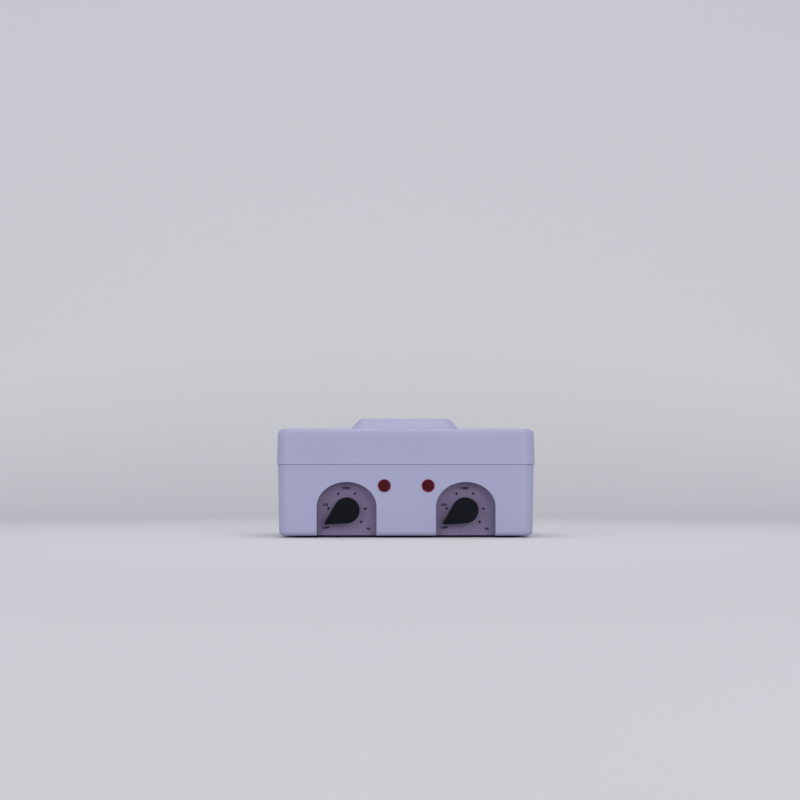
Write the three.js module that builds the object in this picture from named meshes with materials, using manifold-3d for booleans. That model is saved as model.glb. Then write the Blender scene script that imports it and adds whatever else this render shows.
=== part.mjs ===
import * as THREE from 'three';
import { mergeVertices } from 'three/addons/utils/BufferGeometryUtils.js';
import Module from 'manifold-3d';

// A double wax warmer: a moulded tub with two arched control pockets, a deck with two heated wells,
// two lift-out pots under one lid. Millimetres, +Z up, the front faces -Y, and the origin lies on the
// table under the middle of the object.

const wasm = await Module();
wasm.setup();

// Running and seating clearances
const seatGap = 0.2;
const looseGap = 0.3;
const overrun = 6;

// Tub
const housingWidth = 336.3;
const housingDepth = 202.6;
const housingWall = 3;
const housingTaper = 1.65;
const housingFloor = 2.8;
const floorRadius = 6;
const cornerRadius = 18;
const seamHeight = 95.6;
const footReach = 2.6;

// Lid
const lidOverhang = 1.2;
const lidWall = 2.8;
const lidHeight = 47.1;
const lidTaper = 1.4;
const lidEdgeRadius = 7.8;
const gripWidth = 152;
const gripDepth = 52;
const gripHeight = 16.8;
const gripSlope = 15.5;
const gripCornerRadius = 22;
const gripEdgeRadius = 4;
const gripRootRadius = 3;

// Control pockets, one on each side of the middle
const pocketSideMargin = 51.5;
const pocketMiddleMargin = 38.95;
const pocketTop = 72.6;
const pocketArchRise = 32.6;
const pocketDepth = 21.2;
const pocketWall = 2.5;
const dialThickness = 1.2;
const knobHeight = 35.7;

// Knobs
const knobRadius = 16.95;
const knobPointerPlay = 4.75;
const knobTipRadius = 1.6;
const knobLength = 16.5;
const knobEdgeRadius = 1.2;
const knobSkirtDepth = 4.4;
const knobGap = 0.8;
const knobOffAngle = THREE.MathUtils.degToRad(211.5);

// Thermostats
const shaftRadius = 3;
const shaftGrip = 11;
const bushRadius = 5;
const nutRadius = 8;
const nutThickness = 2.8;
const nutPlay = 1.2;
const thermostatWidth = 34;
const thermostatDepth = 17;
const thermostatHeight = 30;

// Pilot lamps
const lampInset = 10.35;
const lampHeight = 68;
const lampRadius = 8.5;
const lampProud = 1.1;
const lampBarrelRadius = 6.6;
const lampBarrelLength = 17;

// Wells and pots
const wellSideMargin = 22.15;
const wellBackMargin = 21.3;
const wellGap = 12;
const wellGauge = 1.2;
const wellFlangeWidth = 9.5;
const wellRootRadius = 7;
const underWellRoom = 22.4;
const bandGauge = 2.2;
const bandFrontGap = 6.2;
const potPlay = 1.6;
const potGauge = 1;
const potTaper = 2.6;
const potRimReach = 3;
const potRimHeight = 2.4;
const potRimWall = 1.6;
const potRootRadius = 6;

// Deck
const deckThickness = 2.6;
const deckLipHeight = 3;
const deckLipWall = 1.7;
const lidPlay = 0.6;

// Feet and screws
const footRadius = 8.25;
const footBarbRadius = 3.8;
const footPocketGap = 2.05;
const footInset = 21.3;
const screwSideInset = 20.15;
const screwEndInset = 17.3;
const screwRadius = 1.6;
const screwHeadRadius = 3.3;

// Counts of sides and steps on round shapes
const cornerSteps = 5;
const edgeSteps = 3;
const roundSides = 18;
const wellSides = 36;
const smallSides = 12;
const wireSides = 6;

const quarterTurn = Math.PI / 2;
const sides = { left: -1, right: 1 };
const corners = [[-1, -1], [1, -1], [1, 1], [-1, 1]];
const frontFace = -housingDepth / 2;
const floorTop = footReach + housingFloor;

// Pockets and lamps are placed from the tub's sides and from its middle.
const pocketWidth = housingWidth / 2 - pocketSideMargin - pocketMiddleMargin;
const pocketSpacing = 2 * pocketMiddleMargin + pocketWidth;
const pocketFloor = frontFace + pocketDepth;
const dialFace = pocketFloor - seatGap - dialThickness;
const lampSpacing = 2 * (pocketMiddleMargin - lampInset);
const thermostatFront = pocketFloor + pocketWall + seatGap;
const thermostatBack = thermostatFront + thermostatDepth;

// Each well fills the room between the tub's side, the other well, the back and the thermostat.
const bandInset = wellFlangeWidth - wellGauge - looseGap - bandGauge;
const roomAcross = housingWidth / 2 - wellSideMargin - wellGap / 2;
const roomAlong = housingDepth / 2 - wellBackMargin - thermostatBack - bandFrontGap + bandInset;
const wellFlangeRadius = Math.min(roomAcross, roomAlong) / 2;
const wellRadius = wellFlangeRadius - wellFlangeWidth;
const wellSpacing = housingWidth - 2 * (wellSideMargin + wellFlangeRadius);
const wellSetback = housingDepth / 2 - wellBackMargin - wellFlangeRadius;

function solidFrom(geometry) {
  const bare = geometry.clone();
  bare.deleteAttribute('normal');
  bare.deleteAttribute('uv');
  const merged = mergeVertices(bare);
  return new wasm.Manifold(new wasm.Mesh({
    numProp: 3,
    vertProperties: merged.attributes.position.array,
    triVerts: Uint32Array.from(merged.index.array),
  }));
}

function geometryFrom(solid) {
  const { vertProperties, triVerts } = solid.getMesh();
  const geometry = new THREE.BufferGeometry();
  geometry.setAttribute('position', new THREE.BufferAttribute(vertProperties, 3));
  geometry.setIndex(new THREE.BufferAttribute(triVerts, 1));
  geometry.computeVertexNormals();
  return geometry;
}

function roundedOutline(width, depth, radius) {
  const points = [];
  [[1, 1], [-1, 1], [-1, -1], [1, -1]].forEach(([sideX, sideY], corner) => {
    for (let step = 0; step <= cornerSteps; step += 1) {
      const angle = (corner + step / cornerSteps) * quarterTurn;
      const x = sideX * (width / 2 - radius) + radius * Math.cos(angle);
      const y = sideY * (depth / 2 - radius) + radius * Math.sin(angle);
      points.push(new THREE.Vector2(x, y));
    }
  });
  return points;
}

// Skins a stack of convex outlines that all have the same number of points.
function loft(rings) {
  const count = rings[0].outline.length;
  const last = (rings.length - 1) * count;
  const positions = rings.flatMap(
    ({ outline, height }) => outline.flatMap((point) => [point.x, point.y, height]),
  );
  const triangles = [];
  for (let start = 0; start < last; start += count) {
    for (let index = 0; index < count; index += 1) {
      const next = (index + 1) % count;
      triangles.push(start + index, start + next, start + count + next);
      triangles.push(start + index, start + count + next, start + count + index);
    }
  }
  for (let index = 1; index < count - 1; index += 1) {
    triangles.push(0, index + 1, index);
    triangles.push(last, last + index, last + index + 1);
  }
  const geometry = new THREE.BufferGeometry();
  geometry.setAttribute('position', new THREE.Float32BufferAttribute(positions, 3));
  geometry.setIndex(triangles);
  return solidFrom(geometry);
}

// A block with rounded upright corners. insetAt gives how far its sides lean in at a height, and a
// negative lowRound flares its foot outwards.
function leaningBlock({ width, depth, radius, low, high, insetAt, lowRound = 0, highRound = 0 }) {
  const ring = (height, edgeInset) => {
    const inset = insetAt(height) + edgeInset;
    const ringRadius = Math.max(radius - inset, seatGap);
    return { height, outline: roundedOutline(width - 2 * inset, depth - 2 * inset, ringRadius) };
  };
  const rings = [];
  const lowSteps = lowRound === 0 ? 0 : edgeSteps;
  const highSteps = highRound === 0 ? 0 : edgeSteps;
  for (let step = 0; step <= lowSteps; step += 1) {
    const angle = (step / Math.max(lowSteps, 1)) * quarterTurn;
    rings.push(ring(low + Math.abs(lowRound) * (1 - Math.cos(angle)), lowRound * (1 - Math.sin(angle))));
  }
  for (let step = 0; step <= highSteps; step += 1) {
    const angle = (step / Math.max(highSteps, 1)) * quarterTurn;
    rings.push(ring(high - highRound * (1 - Math.sin(angle)), highRound * (1 - Math.cos(angle))));
  }
  return loft(rings);
}

// Turns a closed [radius, height] profile about the upright axis.
function turned(profile, sideCount = roundSides) {
  const points = profile.map(([radius, height]) => new THREE.Vector2(radius, height));
  return solidFrom(new THREE.LatheGeometry(points, sideCount).rotateX(quarterTurn));
}

function rod(radius, start, end, sideCount = roundSides) {
  const from = new THREE.Vector3(...start);
  const span = new THREE.Vector3(...end).sub(from);
  const length = span.length();
  const turn = new THREE.Quaternion().setFromUnitVectors(THREE.Object3D.DEFAULT_UP, span.normalize());
  const geometry = new THREE.CylinderGeometry(radius, radius, length, sideCount);
  geometry.translate(0, length / 2, 0).applyQuaternion(turn);
  return solidFrom(geometry.translate(from.x, from.y, from.z));
}

function block([width, depth, height], [x, y, low]) {
  return solidFrom(new THREE.BoxGeometry(width, depth, height).translate(x, y, low + height / 2));
}

// Extrudes an outline drawn in X and Z from a back plane towards the front.
function frontPrism(shape, back, front) {
  const geometry = new THREE.ExtrudeGeometry(shape, {
    depth: back - front,
    bevelEnabled: false,
    curveSegments: roundSides / 2,
  });
  return solidFrom(geometry.rotateX(quarterTurn).translate(0, back, 0));
}

function wire(points, radius, steps) {
  const section = new THREE.Shape().absarc(0, 0, radius, 0, 2 * Math.PI);
  return solidFrom(new THREE.ExtrudeGeometry(section, {
    steps,
    curveSegments: wireSides / 2,
    extrudePath: new THREE.CatmullRomCurve3(points),
  }));
}

function joined(first, ...rest) {
  return rest.reduce((sum, solid) => sum.add(solid), first);
}

function cut(first, ...rest) {
  return rest.reduce((sum, solid) => sum.subtract(solid), first);
}

function finish(color, roughness, metalness = 0) {
  return () => new THREE.MeshStandardMaterial({ color, roughness, metalness });
}

const shellPlastic = finish(0xaeaed2, 0.42);
const dialPlastic = finish(0x6b6478, 0.55);
const knobPlastic = finish(0x141519, 0.45);
const lampPlastic = finish(0x7a1622, 0.2);
const darkPlastic = finish(0x202124, 0.6);
const rubber = finish(0x2c2a30, 0.85);
const aluminium = finish(0xc9cbd0, 0.35, 1);
const steel = finish(0x9a9ca2, 0.35, 1);
const ceramic = finish(0xe6e0d2, 0.7);
const leadRubber = finish(0xb9b2a4, 0.6);

function addPiece(group, name, solid, material) {
  const mesh = new THREE.Mesh(geometryFrom(solid), material());
  mesh.name = name;
  group.add(mesh);
  return mesh;
}

// Lid

const lidWidth = housingWidth + 2 * lidOverhang;
const lidDepth = housingDepth + 2 * lidOverhang;
const lidLow = seamHeight + seatGap;
const lidTop = seamHeight + lidHeight;

function lidShell() {
  const insetAt = (height) => lidTaper * (height - lidLow) / (lidTop - lidLow);
  const outside = leaningBlock({
    width: lidWidth,
    depth: lidDepth,
    radius: cornerRadius,
    low: lidLow,
    high: lidTop,
    insetAt,
    highRound: lidEdgeRadius,
  });
  const inside = leaningBlock({
    width: lidWidth - 2 * lidWall,
    depth: lidDepth - 2 * lidWall,
    radius: cornerRadius - lidWall,
    low: lidLow - overrun,
    high: lidTop - lidWall,
    insetAt,
    highRound: Math.max(lidEdgeRadius - lidWall, 0),
  });
  const slopeShare = gripSlope / gripHeight;
  const sideWall = lidWall * Math.hypot(1, slopeShare);
  const gripInset = (height) => slopeShare * (height - lidTop);
  const grip = leaningBlock({
    width: gripWidth,
    depth: gripDepth,
    radius: gripCornerRadius,
    low: lidTop,
    high: lidTop + gripHeight,
    insetAt: gripInset,
    lowRound: -gripRootRadius,
    highRound: gripEdgeRadius,
  });
  const gripInside = leaningBlock({
    width: gripWidth - 2 * sideWall,
    depth: gripDepth - 2 * sideWall,
    radius: gripCornerRadius - sideWall,
    low: lidTop - lidWall - looseGap,
    high: lidTop + gripHeight - lidWall,
    insetAt: gripInset,
    highRound: Math.max(gripEdgeRadius - lidWall, 0),
  });
  return cut(joined(outside, grip), inside, gripInside);
}

// Tub with its pockets, posts and openings

const deckLow = seamHeight - deckThickness;
const deckWidth = lidWidth - 2 * (lidWall + lidPlay);
const deckDepth = lidDepth - 2 * (lidWall + lidPlay);
const deckRadius = cornerRadius + lidOverhang - lidWall - lidPlay;
const postRadius = 5.6;
const postHeight = 14;
const postTop = floorTop + postHeight;
const screwSeatRise = 7;
const screwSeat = floorTop + screwSeatRise;
const footStemRadius = 2.6;
const glandHeight = 30;
const glandRadius = 7;
const screwX = housingWidth / 2 - screwSideInset;
const screwY = housingDepth / 2 - screwEndInset;
const screwPlaces = [...corners, [0, -1], [0, 1]].map(([sideX, sideY]) => [sideX * screwX, sideY * screwY]);
const footX = housingWidth / 2 - pocketSideMargin + pocketWall + footPocketGap + footBarbRadius;
const footY = housingDepth / 2 - footInset;
const footPlaces = corners.map(([sideX, sideY]) => [sideX * footX, sideY * footY]);

function tubInset(height) {
  return housingTaper * (seamHeight - height) / (seamHeight - footReach);
}

function archShape(grow, low) {
  const halfWidth = pocketWidth / 2 + grow;
  const spring = pocketTop - pocketArchRise;
  const shape = new THREE.Shape();
  shape.moveTo(-halfWidth, low);
  shape.lineTo(halfWidth, low);
  shape.lineTo(halfWidth, spring);
  shape.absellipse(0, spring, halfWidth, pocketArchRise + grow, 0, Math.PI, false);
  shape.lineTo(-halfWidth, low);
  return shape;
}

function tub() {
  const outside = leaningBlock({
    width: housingWidth,
    depth: housingDepth,
    radius: cornerRadius,
    low: footReach,
    high: seamHeight,
    insetAt: tubInset,
    lowRound: floorRadius,
  });
  const inside = leaningBlock({
    width: housingWidth - 2 * housingWall,
    depth: housingDepth - 2 * housingWall,
    radius: cornerRadius - housingWall,
    low: floorTop,
    high: seamHeight + overrun,
    insetAt: tubInset,
    lowRound: Math.max(floorRadius - housingWall, 0),
  });
  const rebate = leaningBlock({
    width: deckWidth + 2 * looseGap,
    depth: deckDepth + 2 * looseGap,
    radius: deckRadius + looseGap,
    low: deckLow - seatGap,
    high: seamHeight + overrun,
    insetAt: () => 0,
  });
  let body = cut(outside, inside, rebate);
  for (const side of Object.values(sides)) {
    const x = side * pocketSpacing / 2;
    const pocketMouth = frontFace - overrun;
    const lining = frontPrism(archShape(pocketWall, -overrun), pocketFloor + pocketWall, pocketMouth);
    const mouth = frontPrism(archShape(0, -overrun), pocketFloor, pocketMouth);
    const bushHole = rod(
      bushRadius + looseGap,
      [x, pocketFloor - overrun, knobHeight],
      [x, pocketFloor + pocketWall + overrun, knobHeight],
    );
    const trimmed = lining.translate([x, 0, 0]).intersect(outside);
    body = cut(body.add(trimmed), mouth.translate([x, 0, 0]), bushHole);
    const lampX = side * lampSpacing / 2;
    body = cut(body, rod(
      lampBarrelRadius + looseGap,
      [lampX, frontFace - overrun, lampHeight],
      [lampX, frontFace + housingWall + overrun, lampHeight],
    ));
  }
  for (const [x, y] of screwPlaces) {
    const post = rod(postRadius, [x, y, footReach + seatGap], [x, y, postTop], smallSides);
    const counterbore = rod(screwHeadRadius + looseGap, [x, y, -overrun], [x, y, screwSeat], smallSides);
    const throughHole = rod(screwRadius + looseGap, [x, y, -overrun], [x, y, postTop + overrun], wireSides);
    body = cut(body.add(post), counterbore, throughHole);
  }
  for (const [x, y] of footPlaces) {
    const stemHole = rod(
      footStemRadius + looseGap,
      [x, y, -overrun],
      [x, y, floorTop + looseGap],
      smallSides,
    );
    body = cut(body, stemHole);
  }
  const glandHole = rod(
    glandRadius + looseGap,
    [0, housingDepth / 2 - housingWall - overrun, glandHeight],
    [0, housingDepth / 2 + overrun, glandHeight],
  );
  return cut(body, glandHole);
}

// Deck

const wellHoleRadius = wellRadius + wellGauge + looseGap;
const ringScrewRadius = 1.1;
const ringScrewCircle = (wellHoleRadius + wellFlangeRadius) / 2;
const pillarRadius = 4.5;
const pillarScrewDepth = 9;

function deck() {
  const plateOutline = roundedOutline(deckWidth, deckDepth, deckRadius);
  const lipTop = seamHeight + deckLipHeight;
  const plate = loft([deckLow, lipTop].map((height) => ({ outline: plateOutline, height })));
  const dish = leaningBlock({
    width: deckWidth - 2 * deckLipWall,
    depth: deckDepth - 2 * deckLipWall,
    radius: deckRadius - deckLipWall,
    low: seamHeight,
    high: lipTop + overrun,
    insetAt: () => 0,
  });
  let body = cut(plate, dish);
  for (const side of Object.values(sides)) {
    const x = side * wellSpacing / 2;
    body = cut(body, rod(
      wellHoleRadius,
      [x, wellSetback, deckLow - overrun],
      [x, wellSetback, lipTop + overrun],
      wellSides,
    ));
    for (const end of Object.values(sides)) {
      const y = wellSetback + end * ringScrewCircle;
      body = cut(body, rod(
        ringScrewRadius + seatGap,
        [x, y, deckLow - overrun],
        [x, y, lipTop + overrun],
        wireSides,
      ));
    }
  }
  for (const [x, y] of screwPlaces) {
    const pillar = rod(pillarRadius, [x, y, postTop + seatGap], [x, y, deckLow + seatGap], smallSides);
    const pilot = rod(
      screwRadius + seatGap,
      [x, y, postTop - overrun],
      [x, y, postTop + pillarScrewDepth],
      wireSides,
    );
    body = cut(body.add(pillar), pilot);
  }
  return body;
}

// Feet, deck screws and gland

const footPadHeight = footReach - seatGap;
const footChamfer = 0.5;
const footBarbHeight = 2.6;

function foot() {
  const barbLow = floorTop + looseGap;
  return turned([
    [0, 0],
    [footRadius - footChamfer, 0],
    [footRadius, footChamfer],
    [footRadius, footPadHeight],
    [footStemRadius, footPadHeight],
    [footStemRadius, barbLow],
    [footBarbRadius, barbLow],
    [footStemRadius, barbLow + footBarbHeight],
    [0, barbLow + footBarbHeight],
  ]);
}

const screwHeadHeight = 2.4;

function deckScrew() {
  const headTop = screwSeat - seatGap;
  const tip = postTop + pillarScrewDepth - seatGap;
  return turned([
    [0, headTop - screwHeadHeight],
    [screwHeadRadius / 2, headTop - screwHeadHeight],
    [screwHeadRadius, headTop - screwHeadHeight / 2],
    [screwHeadRadius, headTop],
    [screwRadius, headTop],
    [screwRadius, tip - 2 * screwRadius],
    [0, tip],
  ], wireSides);
}

const glandFlangeRadius = 9.5;
const glandFlangeThickness = 1.4;
const glandBoreRadius = 4.6;

// A bush with a flange outside the wall, a neck through it and a bead that holds it from inside.
function gland() {
  const wallOutside = housingDepth / 2 - tubInset(glandHeight + glandFlangeRadius);
  const flangeBack = wallOutside + seatGap;
  const wallInside = housingDepth / 2 - tubInset(glandHeight - glandRadius) - housingWall;
  const beadFace = wallInside - looseGap;
  const beadReach = glandFlangeThickness;
  const profile = [
    [glandBoreRadius, beadFace - 2 * beadReach],
    [glandRadius, beadFace - 2 * beadReach],
    [glandRadius + beadReach, beadFace - beadReach],
    [glandRadius + beadReach, beadFace],
    [glandRadius, beadFace],
    [glandRadius, flangeBack],
    [glandFlangeRadius, flangeBack],
    [glandFlangeRadius, flangeBack + glandFlangeThickness],
    [glandBoreRadius, flangeBack + glandFlangeThickness],
    [glandBoreRadius, beadFace - 2 * beadReach],
  ];
  return turned(profile).rotate([-90, 0, 0]);
}

// Dial plates, knobs and thermostats, each built about its own knob axis at x = 0

const bushFront = dialFace - seatGap - nutThickness - seatGap;
const knobBack = dialFace - knobGap;
const knobBoreDepth = shaftGrip + looseGap;
const shaftPlay = 0.1;
const shaftFlat = 0.8;
const shaftBack = thermostatFront + shaftGrip;
const thermostatMiddle = (thermostatFront + thermostatBack) / 2;
const terminalReach = 6;
const terminalGauge = 0.8;
const terminalWidth = 4.8;
const terminalRow = thermostatHeight / 3;

function dialPlate() {
  const plate = frontPrism(archShape(-looseGap, footReach + looseGap), pocketFloor - seatGap, dialFace);
  return cut(plate, rod(
    bushRadius + looseGap,
    [0, dialFace - overrun, knobHeight],
    [0, pocketFloor + overrun, knobHeight],
  ));
}

// The outline round a large circle and the small circle of its pointer, both drawn in by the same inset.
function teardropOutline(inset) {
  const radius = knobRadius - inset;
  const tipRadius = Math.max(knobTipRadius - inset, seatGap / 2);
  const tipDistance = pocketWidth / 2 - knobPointerPlay - knobTipRadius;
  const flank = Math.acos((knobRadius - knobTipRadius) / tipDistance);
  const points = [];
  for (let step = 0; step <= roundSides; step += 1) {
    const angle = knobOffAngle + flank + (2 * Math.PI - 2 * flank) * (step / roundSides);
    points.push(new THREE.Vector2(radius * Math.cos(angle), radius * Math.sin(angle)));
  }
  for (let step = 0; step <= edgeSteps; step += 1) {
    const angle = knobOffAngle - flank + 2 * flank * (step / edgeSteps);
    points.push(new THREE.Vector2(
      tipDistance * Math.cos(knobOffAngle) + tipRadius * Math.cos(angle),
      tipDistance * Math.sin(knobOffAngle) + tipRadius * Math.sin(angle),
    ));
  }
  return points;
}

function shaftSection(radius, back, front, flatDepth) {
  const whole = rod(radius, [0, back, knobHeight], [0, front, knobHeight]);
  const flatLow = knobHeight + radius - flatDepth;
  const flatMiddle = front + knobBoreDepth - knobLength / 2;
  return cut(whole, block([4 * radius, knobLength, radius], [0, flatMiddle, flatLow]));
}

function knob() {
  const rings = [{ outline: teardropOutline(0), height: 0 }];
  for (let step = 0; step <= edgeSteps; step += 1) {
    const angle = (step / edgeSteps) * quarterTurn;
    rings.push({
      outline: teardropOutline(knobEdgeRadius * (1 - Math.cos(angle))),
      height: knobLength - knobEdgeRadius * (1 - Math.sin(angle)),
    });
  }
  const body = loft(rings).rotate([90, 0, 0]).translate([0, knobBack, knobHeight]);
  const skirtEnd = knobBack - knobSkirtDepth;
  const skirt = rod(
    nutRadius + nutPlay,
    [0, knobBack + overrun, knobHeight],
    [0, skirtEnd, knobHeight],
  );
  const bore = shaftSection(
    shaftRadius + seatGap,
    skirtEnd + seatGap,
    knobBack - knobBoreDepth,
    shaftFlat,
  );
  return cut(body, skirt, bore);
}

function shaft() {
  return shaftSection(shaftRadius, shaftBack, knobBack - knobBoreDepth + looseGap, shaftFlat);
}

function panelNut() {
  const front = dialFace - seatGap - nutThickness;
  const nut = rod(nutRadius, [0, dialFace - seatGap, knobHeight], [0, front, knobHeight], 6);
  const thread = rod(
    bushRadius + shaftPlay,
    [0, dialFace + overrun, knobHeight],
    [0, front - overrun, knobHeight],
  );
  return cut(nut, thread);
}

function thermostat(side) {
  const low = knobHeight - thermostatHeight / 2;
  const body = block([thermostatWidth, thermostatDepth, thermostatHeight], [0, thermostatMiddle, low]);
  const bush = rod(bushRadius, [0, thermostatMiddle, knobHeight], [0, bushFront, knobHeight]);
  const bore = rod(
    shaftRadius + shaftPlay,
    [0, shaftBack + looseGap, knobHeight],
    [0, bushFront - overrun, knobHeight],
  );
  const tabX = -side * (thermostatWidth / 2 + terminalReach / 2 - seatGap);
  const tabs = [-1, 0, 1].map((row) => block(
    [terminalReach, terminalGauge, terminalWidth],
    [tabX, thermostatMiddle, knobHeight + row * terminalRow - terminalWidth / 2],
  ));
  return cut(joined(body, bush, ...tabs), bore);
}

// Pilot lamps, built about their own axis and turned to face the front

const lampRim = 0.5;
const lampBarrelWall = 1.2;
const lampStemRadius = lampBarrelRadius - lampBarrelWall;
const lampStemLength = 5;
const lampClipReach = 1.6;
const lampWall = -frontFace - tubInset(lampHeight + lampRadius);

function lampLens() {
  const profile = [[0, -lampStemLength], [lampStemRadius, -lampStemLength], [lampStemRadius, seatGap]];
  profile.push([lampRadius, seatGap]);
  for (let step = 0; step <= edgeSteps; step += 1) {
    const angle = (step / edgeSteps) * quarterTurn;
    const height = seatGap + lampRim + (lampProud - lampRim) * Math.sin(angle);
    profile.push([step === edgeSteps ? 0 : lampRadius * Math.cos(angle), height]);
  }
  return turned(profile).rotate([90, 0, 0]);
}

function lampHolder() {
  const wallLean = tubInset(lampHeight - lampRadius) - tubInset(lampHeight);
  const clipFront = -housingWall - 2 * seatGap - 2 * wallLean;
  const barrel = turned([
    [0, -lampBarrelLength],
    [lampBarrelRadius, -lampBarrelLength],
    [lampBarrelRadius, clipFront - lampClipReach],
    [lampBarrelRadius + lampClipReach, clipFront - lampClipReach],
    [lampBarrelRadius + lampClipReach, clipFront - seatGap],
    [lampBarrelRadius, clipFront],
    [lampBarrelRadius, -seatGap],
    [lampStemRadius + seatGap, -seatGap],
    [lampStemRadius + seatGap, -lampStemLength - seatGap],
    [0, -lampStemLength - seatGap],
  ]);
  const tabs = Object.values(sides).map((end) => block(
    [terminalGauge, terminalWidth / 2, terminalReach],
    [end * lampBarrelRadius / 2, 0, seatGap - lampBarrelLength - terminalReach],
  ));
  return joined(barrel, ...tabs).rotate([90, 0, 0]);
}

// Wells, built about their own axis

const flangeLow = seamHeight + seatGap;
const flangeTop = flangeLow + wellGauge;
const wellOutside = wellRadius + wellGauge;
const wellLow = floorTop + underWellRoom;
const beadRise = 0.9;
const ringGauge = 1.2;
const ringOverhang = 1;
const ringTop = deckLow - seatGap;
const ringLow = ringTop - ringGauge;
const ringRadius = wellFlangeRadius + ringOverhang;

function arcPoints(centreRadius, centreHeight, radius, startAngle, endAngle) {
  const points = [];
  for (let step = 0; step <= edgeSteps; step += 1) {
    const angle = startAngle + (endAngle - startAngle) * (step / edgeSteps);
    points.push([centreRadius + radius * Math.cos(angle), centreHeight + radius * Math.sin(angle)]);
  }
  return points;
}

function well() {
  const innerRoot = Math.max(wellRootRadius - wellGauge, wellGauge);
  const beadTop = ringLow - seatGap;
  return turned([
    [0, wellLow],
    ...arcPoints(wellOutside - wellRootRadius, wellLow + wellRootRadius, wellRootRadius, -quarterTurn, 0),
    [wellOutside, beadTop - 2 * beadRise],
    [wellOutside + beadRise, beadTop - beadRise],
    [wellOutside, beadTop],
    [wellOutside, flangeLow],
    [wellFlangeRadius, flangeLow],
    [wellFlangeRadius, flangeTop],
    [wellRadius, flangeTop],
    ...arcPoints(wellRadius - innerRoot, wellLow + wellGauge + innerRoot, innerRoot, 0, -quarterTurn),
    [0, wellLow + wellGauge],
  ], wellSides);
}

function retainingRing() {
  const inner = wellOutside + looseGap;
  const ring = turned([
    [inner, ringLow],
    [ringRadius, ringLow],
    [ringRadius, ringTop],
    [inner, ringTop],
    [inner, ringLow],
  ], wellSides);
  const holes = Object.values(sides).map((end) => {
    const y = end * ringScrewCircle;
    return rod(ringScrewRadius + seatGap, [0, y, ringLow - overrun], [0, y, ringTop + overrun], wireSides);
  });
  return cut(ring, ...holes);
}

function ringScrew() {
  const headTop = ringLow - seatGap;
  const headRadius = 2 * ringScrewRadius;
  return turned([
    [0, headTop - ringScrewRadius],
    [headRadius, headTop - ringScrewRadius],
    [headRadius, headTop],
    [ringScrewRadius, headTop],
    [ringScrewRadius, seamHeight],
    [0, seamHeight],
  ], wireSides);
}

const bandHeight = 32;
const bandRise = 5;
const bandLow = wellLow + wellRootRadius + bandRise;
const bandInside = wellOutside + looseGap;
const bandOutside = bandInside + bandGauge;
const bandGap = 7;
const earGauge = 1.4;
const earReach = 8;
const bandScrewRadius = 1.5;
const bandScrewHeight = bandLow + bandHeight / 2;
const bandScrewY = bandOutside + earReach / 2;

// The band is open at the back, where two bent ears take its clamping screw.
function heaterBand() {
  const openAngle = Math.asin(bandGap / 2 / bandInside);
  const shape = new THREE.Shape();
  shape.absarc(0, 0, bandOutside, quarterTurn + openAngle, quarterTurn - openAngle + 2 * Math.PI, false);
  shape.absarc(0, 0, bandInside, quarterTurn - openAngle + 2 * Math.PI, quarterTurn + openAngle, true);
  const band = solidFrom(new THREE.ExtrudeGeometry(shape, {
    depth: bandHeight,
    bevelEnabled: false,
    curveSegments: wellSides / 2,
  }).translate(0, 0, bandLow));
  const ears = Object.values(sides).map((end) => block(
    [earGauge, earReach + bandGauge, bandHeight],
    [end * (bandGap / 2 + earGauge / 2), bandInside + (earReach + bandGauge) / 2 + seatGap, bandLow],
  ));
  const hole = rod(
    bandScrewRadius + looseGap,
    [-bandGap - overrun, bandScrewY, bandScrewHeight],
    [bandGap + overrun, bandScrewY, bandScrewHeight],
    wireSides,
  );
  return cut(joined(band, ...ears), hole);
}

function bandScrew() {
  const headFace = bandGap / 2 + earGauge + seatGap;
  const place = (x) => [x, bandScrewY, bandScrewHeight];
  return joined(
    rod(bandScrewRadius, place(-headFace - bandScrewRadius), place(headFace + bandScrewRadius), wireSides),
    rod(2 * bandScrewRadius, place(headFace), place(headFace + 2 * bandScrewRadius), wireSides),
    rod(2 * bandScrewRadius, place(-headFace - 2 * bandScrewRadius), place(-headFace), 6),
  );
}

const cutOutTop = wellLow - seatGap;
const cutOutRadius = 8;
const cutOutCapWidth = 3;
const cutOutHeight = 7;

function cutOut() {
  const capRadius = cutOutRadius + cutOutCapWidth;
  const low = cutOutTop - cutOutHeight;
  const capLow = cutOutTop - wellGauge;
  const body = turned([
    [0, low],
    [cutOutRadius, low],
    [cutOutRadius, capLow],
    [capRadius, capLow],
    [capRadius, cutOutTop],
    [0, cutOutTop],
  ]);
  const tabs = Object.values(sides).map((end) => block(
    [terminalReach, terminalWidth, terminalGauge],
    [end * (cutOutRadius + terminalReach / 2 - seatGap), 0, low + seatGap],
  ));
  return joined(body, ...tabs);
}

// Pots, their ears and bails, built about the well's axis

const potRimLow = flangeTop + seatGap;
const potOutside = wellRadius - potPlay;
const potLow = wellLow + wellGauge + seatGap;
const potLip = potRimLow + potGauge;
const potRimRadius = wellRadius + potRimReach;

function pot() {
  const foot = potOutside - potTaper;
  const innerRoot = Math.max(potRootRadius - potGauge, potGauge);
  return turned([
    [0, potLow],
    ...arcPoints(foot - potRootRadius, potLow + potRootRadius, potRootRadius, -quarterTurn, 0),
    [potOutside, potRimLow],
    [potRimRadius, potRimLow],
    [potRimRadius, potRimLow + potRimHeight],
    [potRimRadius - potRimWall, potRimLow + potRimHeight],
    [potRimRadius - potRimWall, potLip],
    [potOutside - potGauge, potLip],
    ...arcPoints(foot - potGauge - innerRoot, potLow + potGauge + innerRoot, innerRoot, 0, -quarterTurn),
    [0, potLow + potGauge],
  ], wellSides);
}

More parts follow.
